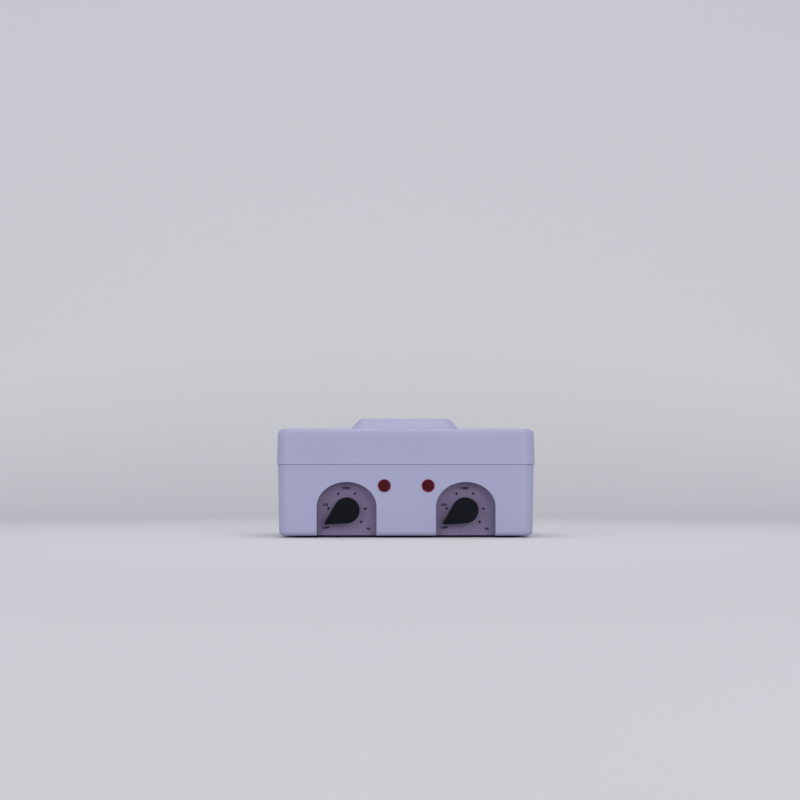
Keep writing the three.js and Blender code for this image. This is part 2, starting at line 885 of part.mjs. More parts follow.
const bailWire = 1.25;
const bailBend = 3.4;
const bailPlay = 2;
const bailReach = potRimRadius + bailWire + bailPlay;
const bailSteps = 48;
const earWidth = 12;
const earSheet = 1.2;
const earOutside = Math.sqrt((potRimRadius - potRimWall) ** 2 - (earWidth / 2) ** 2) - 2 * looseGap;
const earFoot = earOutside - potOutside + potGauge - looseGap;
const earX = earOutside - earSheet / 2;
const earLow = potLip + seatGap;
const pivotRise = 4.5;
const pivotHeight = earLow + earSheet + pivotRise;
const earCap = 3.2;
const earTop = pivotHeight + earCap;

function ear(side) {
  const foot = block([earFoot, earWidth, earSheet], [side * (earOutside - earFoot / 2), 0, earLow]);
  const tab = block([earSheet, earWidth, earTop - earLow], [side * earX, 0, earLow]);
  const hole = rod(
    bailWire + looseGap,
    [side * (earX - overrun), 0, pivotHeight],
    [side * (earX + overrun), 0, pivotHeight],
  );
  return cut(foot.add(tab), hole);
}

// Folded, the bail lies back round the rim and rests on the well's flange.
const bailDrop = pivotHeight - flangeTop - bailWire - looseGap;
const bailTilt = Math.asin(bailDrop / bailReach);

function bail() {
  const path = new THREE.Path();
  const stubEnd = earX - earSheet - bailWire;
  path.moveTo(stubEnd, 0);
  path.lineTo(bailReach - bailBend, 0);
  path.absarc(bailReach - bailBend, bailBend, bailBend, -quarterTurn, 0, false);
  path.absellipse(0, bailBend, bailReach, bailReach - bailBend, 0, Math.PI, false);
  path.absarc(bailBend - bailReach, bailBend, bailBend, Math.PI, 3 * quarterTurn, false);
  path.lineTo(-stubEnd, 0);
  const points = path.getSpacedPoints(2 * bailSteps).map((point) => new THREE.Vector3(point.x, point.y, 0));
  return wire(points, bailWire, bailSteps);
}

// Terminal block and leads inside the tub

const blockSize = [40, 16, 13];
const blockPostGap = 8.4;
const blockY = screwY - postRadius - blockPostGap - blockSize[1] / 2;
const blockLow = floorTop + seatGap;
const clampRadius = 2.4;

function terminalBlock() {
  const [width, depth, height] = blockSize;
  const body = block(blockSize, [0, blockY, blockLow]);
  const blockTop = blockLow + height;
  const wells = [-3, -1, 1, 3].map((row) => {
    const x = row * width / 8;
    return rod(clampRadius, [x, blockY, blockTop - height / 2], [x, blockY, blockTop + overrun], wireSides);
  });
  return cut(body, ...wells);
}

const leadRadius = 1.1;
const leadSteps = 10;
const leadRise = 4;
const leadHeight = floorTop + leadRise;
const terminalX = pocketSpacing / 2 - thermostatWidth / 2 - terminalReach + seatGap - leadRadius;

function leads(side) {
  const [blockWidth, blockDepth, blockHeight] = blockSize;
  const blockFront = blockY - blockDepth / 2 - looseGap;
  const entryHeight = blockLow + blockHeight / 2;
  const bandReach = (bandOutside + leadRadius) * Math.SQRT1_2;
  const lampX = lampSpacing / 2 + lampBarrelRadius / 2;
  const lampBack = lampBarrelLength + terminalReach + leadRadius - lampWall;
  const cutOutLow = cutOutTop - cutOutHeight;
  const routes = {
    supply: [
      [blockWidth / 4, blockFront, entryHeight],
      [blockWidth / 3, blockFront - blockDepth, leadHeight],
      [blockWidth / 2, thermostatMiddle / 2, leadHeight],
      [
        (blockWidth + terminalX) / 2 - leadRadius,
        thermostatMiddle,
        (leadHeight + knobHeight - terminalRow) / 2,
      ],
      [terminalX, thermostatMiddle, knobHeight - terminalRow],
    ],
    lamp: [
      [lampX, lampBack, lampHeight],
      [lampX + lampBarrelRadius, lampBack + lampBarrelRadius, lampHeight - lampBarrelRadius],
      [terminalX - lampBarrelRadius, thermostatMiddle, knobHeight + terminalRow / 2],
      [terminalX, thermostatMiddle, knobHeight],
    ],
    heater: [
      [terminalX, thermostatMiddle, knobHeight + terminalRow],
      [
        terminalX - lampBarrelRadius,
        thermostatMiddle + terminalReach,
        knobHeight + terminalRow + leadHeight,
      ],
      [wellSpacing / 2 - bandReach - bandGauge, wellSetback - bandReach - bandGauge, bandScrewHeight],
    ],
    cut_out: [
      [wellSpacing / 2 - cutOutRadius - terminalReach - leadRadius, wellSetback, cutOutLow],
      [wellSpacing / 3, wellSetback + blockDepth, leadHeight],
      [blockWidth / 2 + blockDepth, blockY - blockDepth / 4, leadHeight],
      [blockWidth / 2 + looseGap, blockY, entryHeight],
    ],
  };
  return Object.entries(routes).map(([use, points]) => {
    const route = points.map(([x, y, z]) => new THREE.Vector3(side * x, y, z));
    return [use, wire(route, leadRadius, leadSteps)];
  });
}

// Assembly

const warmer = new THREE.Group();
addPiece(warmer, 'lid', lidShell(), shellPlastic);
addPiece(warmer, 'lower_housing', tub(), shellPlastic);
addPiece(warmer, 'top_deck', deck(), shellPlastic);
addPiece(warmer, 'cord_gland', gland(), darkPlastic).position.z = glandHeight;
addPiece(warmer, 'terminal_block', terminalBlock(), ceramic);
['front_left', 'front_right', 'back_right', 'back_left'].forEach((place, index) => {
  const [x, y] = footPlaces[index];
  addPiece(warmer, `${place}_foot`, foot(), rubber).position.set(x, y, 0);
});
screwPlaces.forEach(([x, y], index) => {
  addPiece(warmer, `deck_screw_${index + 1}`, deckScrew(), steel).position.set(x, y, 0);
});

for (const [name, side] of Object.entries(sides)) {
  const control = new THREE.Group();
  control.position.x = side * pocketSpacing / 2;
  addPiece(control, `${name}_dial_plate`, dialPlate(), dialPlastic);
  addPiece(control, `${name}_knob`, knob(), knobPlastic);
  addPiece(control, `${name}_shaft`, shaft(), steel);
  addPiece(control, `${name}_panel_nut`, panelNut(), steel);
  addPiece(control, `${name}_thermostat`, thermostat(side), ceramic);

  const lamp = new THREE.Group();
  lamp.position.set(side * lampSpacing / 2, -lampWall, lampHeight);
  addPiece(lamp, `${name}_lamp_lens`, lampLens(), lampPlastic);
  addPiece(lamp, `${name}_lamp_holder`, lampHolder(), darkPlastic);

  const heating = new THREE.Group();
  heating.position.set(side * wellSpacing / 2, wellSetback, 0);
  addPiece(heating, `${name}_well`, well(), aluminium);
  addPiece(heating, `${name}_retaining_ring`, retainingRing(), steel);
  addPiece(heating, `${name}_ring_screw_1`, ringScrew(), steel).position.y = -ringScrewCircle;
  addPiece(heating, `${name}_ring_screw_2`, ringScrew(), steel).position.y = ringScrewCircle;
  addPiece(heating, `${name}_heater_band`, heaterBand(), steel);
  addPiece(heating, `${name}_band_screw`, bandScrew(), steel);
  addPiece(heating, `${name}_cut_out`, cutOut(), ceramic);
  addPiece(heating, `${name}_pot`, pot(), aluminium);
  addPiece(heating, `${name}_pot_ear_1`, ear(-1), aluminium);
  addPiece(heating, `${name}_pot_ear_2`, ear(1), aluminium);
  const folded = addPiece(heating, `${name}_bail`, bail(), steel);
  folded.position.z = pivotHeight;
  folded.rotation.x = -bailTilt;

  for (const [use, lead] of leads(side)) {
    addPiece(warmer, `${name}_${use}_lead`, lead, leadRubber);
  }
  warmer.add(control, lamp, heating);
}

export default warmer;
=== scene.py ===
import math

import bmesh
import bpy
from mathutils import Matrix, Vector


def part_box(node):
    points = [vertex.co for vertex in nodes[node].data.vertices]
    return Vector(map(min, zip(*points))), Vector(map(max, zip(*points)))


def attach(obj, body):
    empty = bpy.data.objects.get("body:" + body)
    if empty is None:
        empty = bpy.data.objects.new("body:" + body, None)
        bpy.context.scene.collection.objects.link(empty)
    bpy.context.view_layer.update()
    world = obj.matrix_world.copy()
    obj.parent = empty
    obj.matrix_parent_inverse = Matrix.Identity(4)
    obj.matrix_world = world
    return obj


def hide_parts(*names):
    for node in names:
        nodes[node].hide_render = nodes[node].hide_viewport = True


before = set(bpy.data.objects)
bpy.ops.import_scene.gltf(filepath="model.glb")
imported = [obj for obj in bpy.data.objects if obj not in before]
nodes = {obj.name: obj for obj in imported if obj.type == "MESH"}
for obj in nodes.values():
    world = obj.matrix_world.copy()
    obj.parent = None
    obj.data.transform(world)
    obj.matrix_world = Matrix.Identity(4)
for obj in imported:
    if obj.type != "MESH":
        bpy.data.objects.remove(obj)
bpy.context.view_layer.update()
mm = 0.001

# The view. The camera stands level, two metres in front of the warmer and a little to the left of its
# middle, and the object keeps the size and place that it has in the photograph.
photo_width = 800
metres_per_pixel = 1.302 * mm
object_middle_pixel = 404.9
table_line_pixel = 537.9
camera_distance = 2000 * mm
camera_height = 68 * mm
camera_turn = math.radians(1)
sensor = 36
lid_low, lid_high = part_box("lid")
view_width = photo_width * metres_per_pixel
camera_reach = camera_distance - lid_low.y
camera_aside = (photo_width / 2 - object_middle_pixel) * metres_per_pixel
bpy.ops.object.camera_add(
    location=(
        camera_aside * math.cos(camera_turn) - camera_reach * math.sin(camera_turn),
        -camera_aside * math.sin(camera_turn) - camera_reach * math.cos(camera_turn),
        camera_height,
    ),
    rotation=(math.radians(90), 0, -camera_turn),
)
camera = bpy.context.object
camera.data.sensor_width = sensor
camera.data.lens = sensor * camera_distance / view_width
camera.data.shift_y = (table_line_pixel - photo_width / 2) / photo_width - camera_height / view_width
bpy.context.scene.camera = camera
bpy.context.scene.view_settings.view_transform = "Standard"


# The studio. A large soft lamp stands low to the right of the camera, a second fills from the left, a
# third lights the lid from above, and the world adds an even glow.
lamp_spread = math.radians(110)
glow_strength = 0.6
backdrop_colour = (0.58, 0.58, 0.64, 1)
warmer_middle = (0, 0, 80 * mm)


def studio_lamp(name, place, size, power):
    bpy.ops.object.light_add(type="AREA", location=place)
    lamp = bpy.context.object
    lamp.name = name
    lamp.data.size = size
    lamp.data.energy = power
    lamp.data.spread = lamp_spread
    lamp.rotation_mode = "QUATERNION"
    lamp.rotation_quaternion = (Vector(place) - Vector(warmer_middle)).to_track_quat("Z", "Y")


def wire(tree, made, wires):
    """Gives each named input of a node its value or its link."""
    for socket, value in wires.items():
        if isinstance(value, bpy.types.NodeSocket):
            tree.links.new(value, made.inputs[socket])
        else:
            made.inputs[socket].default_value = value
    return made


def node(tree, kind, wires, **settings):
    """A new node with its settings and its inputs."""
    made = tree.nodes.new(kind)
    for setting, value in settings.items():
        setattr(made, setting, value)
    return wire(tree, made, wires)


studio_lamp("key_lamp", place=(1.3, -2.6, 0.9), size=1.4, power=7.6)
studio_lamp("fill_lamp", place=(-1.4, -2.1, 0.75), size=1.2, power=4.4)
studio_lamp("top_lamp", place=(0, 0.1, 1.7), size=1.2, power=3.2)
world = bpy.data.worlds.new("studio_world")
bpy.context.scene.world = world
world.use_nodes = True
tree = world.node_tree
tree.nodes.clear()
glow = node(tree, "ShaderNodeBackground", {"Color": (1, 1, 1, 1), "Strength": glow_strength})
backdrop = node(tree, "ShaderNodeBackground", {"Color": backdrop_colour})
rays = node(tree, "ShaderNodeLightPath", {}).outputs
seen = node(
    tree, "ShaderNodeMath", {0: rays["Is Camera Ray"], 1: rays["Is Glossy Ray"]}, operation="MAXIMUM",
)
seen = node(
    tree, "ShaderNodeMath", {0: seen.outputs[0], 1: rays["Is Transmission Ray"]}, operation="MAXIMUM",
)
sky = node(
    tree, "ShaderNodeMixShader", {0: seen.outputs[0], 1: glow.outputs[0], 2: backdrop.outputs[0]},
)
node(tree, "ShaderNodeOutputWorld", {"Surface": sky.outputs[0]})


# The floor. One pale sheet of card that takes the warmer's shadow and runs up behind it in a wide sweep.
# Away from the lamps the card is paler, so that the ground looks even.
def deselect():
    if bpy.context.object and bpy.context.object.mode == "EDIT":
        bpy.ops.object.mode_set(mode="OBJECT")
    bpy.ops.object.select_all(action="DESELECT")


def pick(piece, kind, wanted):
    """Selects, in edit mode, the verts, edges or faces of a piece whose middle passes a test."""
    if piece.mode != "EDIT":
        deselect()
        piece.select_set(True)
        bpy.context.view_layer.objects.active = piece
        bpy.ops.object.mode_set(mode="EDIT")
    bpy.ops.mesh.select_mode(type={"verts": "VERT", "edges": "EDGE", "faces": "FACE"}[kind])
    bpy.ops.mesh.select_all(action="DESELECT")
    shape = bmesh.from_edit_mesh(piece.data)
    for item in getattr(shape, kind):
        if kind == "verts":
            middle = item.co
        elif kind == "edges":
            middle = (item.verts[0].co + item.verts[1].co) / 2
        else:
            middle = item.calc_center_median()
        item.select_set(bool(wanted(item, middle)))
    shape.select_flush_mode()
    bmesh.update_edit_mesh(piece.data)


def settle(piece, name):
    """Names a new piece and puts its place into its mesh, with the object left at the origin."""
    deselect()
    piece.select_set(True)
    bpy.context.view_layer.objects.active = piece
    bpy.ops.object.transform_apply(location=True, rotation=True, scale=True)
    piece.name = name
    piece.data.name = name
    return piece


floor_reach = 12
sweep_start = 4
sweep_height = 5
sweep_radius = 2.4
sweep_steps = 24
card_near, card_near_colour = 1.2, (0.66, 0.66, 0.71, 1)
card_far, card_far_colour = 3.2, (0.93, 0.93, 0.99, 1)

deselect()
bpy.ops.mesh.primitive_plane_add(size=1, location=(0, (sweep_start - floor_reach) / 2, 0))
bpy.context.object.scale = (2 * floor_reach, sweep_start + floor_reach, 1)
floor = settle(bpy.context.object, "floor")
pick(floor, "edges", lambda edge, middle: middle.y > sweep_start - mm)
bpy.ops.mesh.extrude_region_move(TRANSFORM_OT_translate={"value": (0, 0, sweep_height)})
pick(floor, "edges", lambda edge, middle: abs(middle.y - sweep_start) < mm and abs(middle.z) < mm)
bpy.ops.mesh.bevel(offset=sweep_radius, segments=sweep_steps, affect="EDGES")
bpy.ops.object.mode_set(mode="OBJECT")
bpy.ops.object.shade_smooth()
card = bpy.data.materials.new("card")
card.use_nodes = True
tree = card.node_tree
floor_place = node(tree, "ShaderNodeTexCoord", {})
floor_distance = node(tree, "ShaderNodeVectorMath", {0: floor_place.outputs["Object"]}, operation="LENGTH")
paling = node(tree, "ShaderNodeMapRange", {
    "Value": floor_distance.outputs["Value"], "From Min": card_near, "From Max": card_far,
})
card_colour = node(tree, "ShaderNodeMix", {
    "Factor": paling.outputs["Result"], "A": card_near_colour, "B": card_far_colour,
}, data_type="RGBA")
wire(tree, tree.nodes["Principled BSDF"], {
    "Base Color": card_colour.outputs["Result"], "Roughness": 0.9, "Specular IOR Level": 0.1,
})
floor.data.materials.append(card)


# The lid. One moulded shell of satin lavender plastic, with a raised grip whose four sides slope. Nothing
# fixes it: its open rim stands on the tub, and the deck's lip keeps it from sliding.
def rounded_plate(width, depth, height, corner, corner_steps=10):
    """A flat face with rounded corners, still in edit mode."""
    deselect()
    bpy.ops.mesh.primitive_plane_add(size=1, location=(0, 0, height))
    bpy.context.object.scale = (width, depth, 1)
    plate = settle(bpy.context.object, "plate")
    pick(plate, "verts", lambda vert, middle: True)
    bpy.ops.mesh.bevel(offset=corner, segments=corner_steps, affect="VERTICES")
    bpy.ops.mesh.select_mode(type="FACE")
    bpy.ops.mesh.select_all(action="SELECT")
    return plate


def level(height, slack=0.02 * mm):
    """A test for edges that lie at one height."""
    return lambda edge, middle: all(abs(vert.co.z - height) < slack for vert in edge.verts)


def upright(face, slope=0.5):
    """Whether a face leans back no further than a slope."""
    return abs(face.normal.z) < slope


def apply_modifier(piece, kind, **settings):
    deselect()
    piece.select_set(True)
    bpy.context.view_layer.objects.active = piece
    modifier = piece.modifiers.new(kind.lower(), kind)
    for key, value in settings.items():
        setattr(modifier, key, value)
    bpy.ops.object.modifier_apply(modifier=modifier.name)


def smooth(piece, sharp_angle=35):
    """Shades a piece smooth up to a sharp angle, with its flat faces kept flat."""
    deselect()
    piece.select_set(True)
    bpy.context.view_layer.objects.active = piece
    bpy.ops.object.shade_smooth_by_angle(angle=math.radians(sharp_angle))
    apply_modifier(piece, "WEIGHTED_NORMAL", keep_sharp=True, weight=80)


def hand_over(piece, name, body, slot, material, *replaced):
    """Finishes a piece: its name, its one material, the body it moves with and the nodes it stands for."""
    settle(piece, name)
    piece.data.materials.clear()
    piece.data.materials.append(material)
    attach(piece, body)
    if replaced:
        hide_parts(*replaced)
    return piece


def new_material(name, colour, roughness, metallic=0.0, specular=0.5):
    """A material with a Principled shader, and the tree and shader to build on."""
    material = bpy.data.materials.new(name)
    material.use_nodes = True
    shader = wire(material.node_tree, material.node_tree.nodes["Principled BSDF"], {
        "Base Color": (*colour, 1), "Roughness": roughness,
        "Metallic": metallic, "Specular IOR Level": specular,
    })
    return material, material.node_tree, shader


def new_group(name, sockets):
    """An empty node group with its named inputs. It puts out a colour, a roughness and a height."""
    group = bpy.data.node_groups.new(name, "ShaderNodeTree")
    for socket, kind, value in sockets:
        made = group.interface.new_socket(name=socket, in_out="INPUT", socket_type=f"NodeSocket{kind}")
        made.default_value = value
    for socket, kind in (("Colour", "Color"), ("Roughness", "Float"), ("Height", "Float")):
        group.interface.new_socket(name=socket, in_out="OUTPUT", socket_type=f"NodeSocket{kind}")
    return group, group.nodes.new("NodeGroupInput").outputs


def add_skin(tree, shader, group, depth, wires):
    """Lays a node group over a material, with its relief at a given depth."""
    skin = node(tree, "ShaderNodeGroup", wires, node_tree=group).outputs
    bump = node(tree, "ShaderNodeBump", {"Distance": depth, "Height": skin["Height"]})
    wire(tree, shader, {
        "Base Color": skin["Colour"], "Roughness": skin["Roughness"], "Normal": bump.outputs["Normal"],
    })


def moulded_group():
    """Moulded plastic: a faint cloudy shade, a fine spark-eroded grain and a few rubbed, glossier spots."""
    group, given = new_group("moulded_plastic", (
        ("Colour", "Color", (0.4, 0.4, 0.6, 1)), ("Shade", "Float", 0.03), ("Grain Size", "Float", 0.5),
        ("Gloss", "Float", 0.4),
    ))
    place = node(group, "ShaderNodeTexCoord", {}).outputs["Object"]
    cloud = node(group, "ShaderNodeTexNoise", {"Vector": place, "Scale": 14, "Detail": 3})
    shade = node(group, "ShaderNodeMapRange", {
        "Value": cloud.outputs["Fac"], "From Min": 0.3, "From Max": 0.7,
        "To Min": 0, "To Max": given["Shade"],
    })
    colour = node(group, "ShaderNodeMix", {
        "Factor": shade.outputs["Result"], "A": given["Colour"], "B": (0.02, 0.02, 0.03, 1),
    }, data_type="RGBA")
    pitch = node(group, "ShaderNodeMath", {0: 1 / mm, 1: given["Grain Size"]}, operation="DIVIDE")
    grain = node(group, "ShaderNodeTexNoise", {"Vector": place, "Scale": pitch.outputs[0], "Detail": 2})
    rub = node(group, "ShaderNodeTexNoise", {"Vector": place, "Scale": 45, "Detail": 6, "Roughness": 0.65})
    rubbed = node(group, "ShaderNodeMapRange", {
        "Value": rub.outputs["Fac"], "From Min": 0.35, "From Max": 0.65, "To Min": -0.05, "To Max": 0.05,
    })
    gloss = node(group, "ShaderNodeMath", {0: given["Gloss"], 1: rubbed.outputs["Result"]})
    node(group, "NodeGroupOutput", {
        "Colour": colour.outputs["Result"], "Roughness": gloss.outputs[0], "Height": grain.outputs["Fac"],
    })
    return group


moulded = moulded_group()


def moulded_plastic(name, colour, gloss, shade=0.03, grain_size=0.5, grain_depth=0.01 * mm, specular=0.5):
    """A plastic material with the moulded grain."""
    material, tree, shader = new_material(name, colour, gloss, specular=specular)
    add_skin(tree, shader, moulded, grain_depth, {
        "Colour": (*colour, 1), "Shade": shade, "Grain Size": grain_size, "Gloss": gloss,
    })
    return material


lavender = (0.372, 0.374, 0.560)
shell_plastic = moulded_plastic("shell_plastic", lavender, gloss=0.48)

lid_wall = 2.8 * mm
lid_lean = 1.4 * mm
lid_edge_radius = 7.8 * mm
shell_corner_radius = 18 * mm
grip_width = 152 * mm
grip_depth = 52 * mm
grip_height = 16.8 * mm
grip_slope = 15.5 * mm
grip_corner_radius = 22 * mm
grip_edge_radius = 4 * mm
grip_root_radius = 3 * mm
rim_edge_radius = 0.5 * mm
hair = 0.01 * mm
almost_level = 0.999
lid_top = lid_high.z - grip_height
lid_width = lid_high.x - lid_low.x
lid_depth = lid_high.y - lid_low.y

grip = rounded_plate(grip_width, grip_depth, lid_top, grip_corner_radius)
bpy.ops.mesh.inset(thickness=grip_slope, depth=grip_height)
pick(grip, "edges", level(lid_high.z))
bpy.ops.mesh.bevel(offset=grip_edge_radius, segments=6, affect="EDGES")
bpy.ops.object.mode_set(mode="OBJECT")
lid = rounded_plate(lid_width, lid_depth, lid_low.z, shell_corner_radius)
bpy.ops.mesh.inset(thickness=lid_lean, depth=lid_top - lid_low.z)
pick(lid, "edges", level(lid_top))
bpy.ops.mesh.bevel(offset=lid_edge_radius, segments=10, affect="EDGES")
pick(lid, "faces", lambda face, middle: middle.z > lid_top - hair)
bpy.ops.mesh.delete(type="ONLY_FACE")
bpy.ops.object.mode_set(mode="OBJECT")
deselect()
grip.select_set(True)
lid.select_set(True)
bpy.context.view_layer.objects.active = lid
bpy.ops.object.join()
pick(lid, "edges", lambda edge, middle: edge.is_boundary and level(lid_top)(edge, middle))
bpy.ops.mesh.bridge_edge_loops()
pick(lid, "edges", lambda edge, middle: level(lid_top)(edge, middle)
     and sum(upright(face, almost_level) for face in edge.link_faces) == 1
     and abs(middle.x) < grip_width / 2 + mm and abs(middle.y) < grip_depth / 2 + mm)
bpy.ops.mesh.bevel(offset=grip_root_radius, segments=5, affect="EDGES")
bpy.ops.mesh.select_all(action="SELECT")
bpy.ops.mesh.normals_make_consistent(inside=False)
bpy.ops.object.mode_set(mode="OBJECT")
apply_modifier(lid, "SOLIDIFY", thickness=lid_wall, offset=-1, use_even_offset=True)
pick(lid, "verts", lambda vert, middle: middle.z < lid_low.z + mm)
bpy.ops.transform.resize(value=(1, 1, 0), center_override=(0, 0, lid_low.z))
pick(lid, "edges", lambda edge, middle: level(lid_low.z)(edge, middle)
     and any(upright(face) for face in edge.link_faces))
bpy.ops.mesh.bevel(offset=rim_edge_radius, segments=3, affect="EDGES")
bpy.ops.object.mode_set(mode="OBJECT")
smooth(lid)
hand_over(lid, "lid_shell", "lid", "shell_plastic", shell_plastic, "lid")


# The tub. The lower half is one moulded shell with a rounded floor edge and two arched pockets, open at the
# front and below, whose linings run back from its front wall. Posts in its floor take the deck's screws.
def slab(width, depth, high, low, corner, lean=0.0, edge=0.0, edge_steps=8):
    """A solid slab that leans in towards its floor, where its edge may be round."""
    piece = rounded_plate(width, depth, high, corner)
    if lean:
        bpy.ops.mesh.inset(thickness=lean, depth=low - high)
    else:
        bpy.ops.mesh.extrude_region_move(TRANSFORM_OT_translate={"value": (0, 0, low - high)})
    if edge:
        pick(piece, "edges", level(low))
        bpy.ops.mesh.bevel(offset=edge, segments=edge_steps, affect="EDGES")
    pick(piece, "edges", lambda rim, middle: rim.is_boundary)
    bpy.ops.mesh.edge_face_add()
    return outward(piece)


def outward(piece):
    """Turns a closed piece's faces outwards and leaves edit mode."""
    pick(piece, "faces", lambda face, middle: True)
    bpy.ops.mesh.normals_make_consistent(inside=False)
    bpy.ops.object.mode_set(mode="OBJECT")
    return piece


def bar(radius, start, end, sides=32):
    """A round bar between two points, for holes, posts and pins."""
    span = Vector(end) - Vector(start)
    deselect()
    bpy.ops.mesh.primitive_cylinder_add(
        vertices=sides,
        radius=radius,
        depth=span.length,
        location=(Vector(start) + Vector(end)) / 2,
        rotation=span.to_track_quat("Z", "Y").to_euler(),
    )
    return settle(bpy.context.object, "bar")


def joined(parts):
    deselect()
    for part in parts:
        part.select_set(True)
    bpy.context.view_layer.objects.active = parts[0]
    if len(parts) > 1:
        bpy.ops.object.join()
    return parts[0]


def carve(piece, tools, operation="DIFFERENCE"):
    """Cuts, adds or intersects a piece with tools that don't touch each other, and removes them."""
    tool = joined(tools)
    apply_modifier(piece, "BOOLEAN", object=tool, operation=operation, solver="EXACT")
    bpy.data.objects.remove(tool)
    return piece


def copy_of(piece, name):
    twin = piece.copy()
    twin.data = piece.data.copy()
    twin.name = name
    twin.data.name = name
    bpy.context.collection.objects.link(twin)
    return twin


tub_low, tub_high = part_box("lower_housing")
tub_width = tub_high.x - tub_low.x
tub_depth = tub_high.y - tub_low.y
tub_wall = 3 * mm
tub_floor = 2.8 * mm
tub_lean = 1.65 * mm
tub_edge_radius = 6 * mm
deck_thickness = 5.6 * mm
deck_corner_radius = 15.8 * mm
deck_low_corner, deck_high_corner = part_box("top_deck")
deck_low = deck_high_corner.z - deck_thickness
gap = 0.3 * mm
seat_gap = 0.2 * mm
spare = 6 * mm
floor_top = tub_low.z + tub_floor
post_radius = 5.6 * mm
post_height = 14 * mm
counterbore_radius = 3.6 * mm
counterbore_depth = 9.8 * mm
screw_hole_radius = 1.9 * mm
mouth_edge_radius = 0.8 * mm
pocket_half_width = 38.85 * mm
pocket_spring = 40 * mm
pocket_rise = 32.6 * mm
pocket_wall = 2.5 * mm
arch_slack = 0.05 * mm
arch_slack_share = 0.003
panel_hole_radius = 5.3 * mm
square_on = 0.9
flat_angle = math.radians(0.1)
rebate_edge_radius = 0.4 * mm
knob_axis_x = 77.8 * mm
knob_axis_z = 35.7 * mm
dial_low, dial_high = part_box("left_dial_plate")
pocket_back = dial_high.y + seat_gap
sides = {"left": -1, "right": 1}
lamp_x = 28.6 * mm
lamp_z = 68 * mm
lamp_barrel_radius = 6.6 * mm
gland_z = 30 * mm
gland_hole_radius = 7.3 * mm
screw_places = []
for number in range(1, 7):
    screw_low, screw_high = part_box(f"deck_screw_{number}")
    screw_places.append(((screw_low.x + screw_high.x) / 2, (screw_low.y + screw_high.y) / 2))


def arch(x, grow, low, back, front, steps=96):
    """The arched shape of a pocket, from its back towards the front."""
    deselect()
    bpy.ops.mesh.primitive_cylinder_add(
        vertices=steps,
        radius=pocket_half_width + grow,
        depth=back - front,
        location=(x, (back + front) / 2, pocket_spring),
        rotation=(math.radians(90), 0, 0),
    )
    piece = settle(bpy.context.object, "arch")
    pick(piece, "faces", lambda face, middle: True)
    flatten = (pocket_rise + grow) / (pocket_half_width + grow)
    bpy.ops.transform.resize(value=(1, 1, flatten), center_override=(x, 0, pocket_spring))
    bpy.ops.mesh.bisect(
        plane_co=(0, 0, pocket_spring), plane_no=(0, 0, 1), use_fill=True, clear_inner=True,
    )
    pick(piece, "faces", lambda face, middle: face.normal.z < -square_on and middle.z < pocket_spring + gap)
    bpy.ops.mesh.extrude_region_move(TRANSFORM_OT_translate={"value": (0, 0, low - pocket_spring)})
    return outward(piece)


def on_arch(point):
    """Whether a point lies on the outline of one of the pockets."""
    across = abs(abs(point.x) - knob_axis_x)
    if point.z < pocket_spring:
        return abs(across - pocket_half_width) < arch_slack
    reach = math.hypot(across / pocket_half_width, (point.z - pocket_spring) / pocket_rise)
    return abs(reach - 1) < arch_slack_share


def pocket_face(face, slope=0.3):
    """Whether a face is part of a pocket's arched wall."""
    return abs(face.normal.y) < slope and all(on_arch(vert.co) for vert in face.verts)


tub = slab(tub_width, tub_depth, tub_high.z, tub_low.z, shell_corner_radius, tub_lean, tub_edge_radius)
outer_skin = copy_of(tub, "outer_skin")
inner_width = tub_width - 2 * tub_wall
inner_depth = tub_depth - 2 * tub_wall
inner_corner = shell_corner_radius - tub_wall
cavity = slab(
    inner_width, inner_depth, tub_high.z, floor_top, inner_corner, tub_lean, tub_edge_radius - tub_wall,
)
pick(cavity, "verts", lambda vert, middle: middle.z > tub_high.z - mm)
bpy.ops.transform.translate(value=(0, 0, spare))
bpy.ops.object.mode_set(mode="OBJECT")
carve(tub, [cavity])
linings = [
    arch(side * knob_axis_x, pocket_wall, -spare, pocket_back + pocket_wall, tub_low.y - spare)
    for side in sides.values()
]
lining = joined(linings)
carve(lining, [outer_skin], "INTERSECT")
carve(tub, [lining], "UNION")
posts = [bar(post_radius, (x, y, floor_top - mm), (x, y, floor_top + post_height)) for x, y in screw_places]
carve(tub, posts, "UNION")
rebate = slab(
    deck_high_corner.x - deck_low_corner.x + 2 * gap,
    deck_high_corner.y - deck_low_corner.y + 2 * gap,
    tub_high.z + spare,
    deck_low - seat_gap,
    deck_corner_radius + gap,
)
carve(tub, [rebate])
carve(tub, [arch(side * knob_axis_x, 0, -spare, pocket_back, tub_low.y - spare) for side in sides.values()])
pick(tub, "faces", lambda face, middle: face.normal.y < -square_on)
bpy.ops.mesh.dissolve_limited(angle_limit=flat_angle)
pick(tub, "edges", lambda edge, middle: len(edge.link_faces) == 2
     and middle.y < pocket_back - arch_slack
     and sum(pocket_face(face) for face in edge.link_faces) == 1)
bpy.ops.mesh.bevel(offset=mouth_edge_radius, segments=3, affect="EDGES")
bpy.ops.object.mode_set(mode="OBJECT")
holes = [bar(gland_hole_radius, (0, tub_high.y - 3 * spare, gland_z), (0, tub_high.y + spare, gland_z))]
for side in sides.values():
    holes.append(bar(
        lamp_barrel_radius + gap,
        (side * lamp_x, tub_low.y - spare, lamp_z),
        (side * lamp_x, tub_low.y + 2 * spare, lamp_z),
    ))
    holes.append(bar(
        panel_hole_radius,
        (side * knob_axis_x, pocket_back - spare, knob_axis_z),
        (side * knob_axis_x, pocket_back + spare, knob_axis_z),
    ))
for x, y in screw_places:
    holes.append(bar(screw_hole_radius, (x, y, -spare), (x, y, floor_top + post_height + spare), 16))
carve(tub, holes)
carve(tub, [
    bar(counterbore_radius, (x, y, -spare), (x, y, tub_low.z + counterbore_depth)) for x, y in screw_places
])
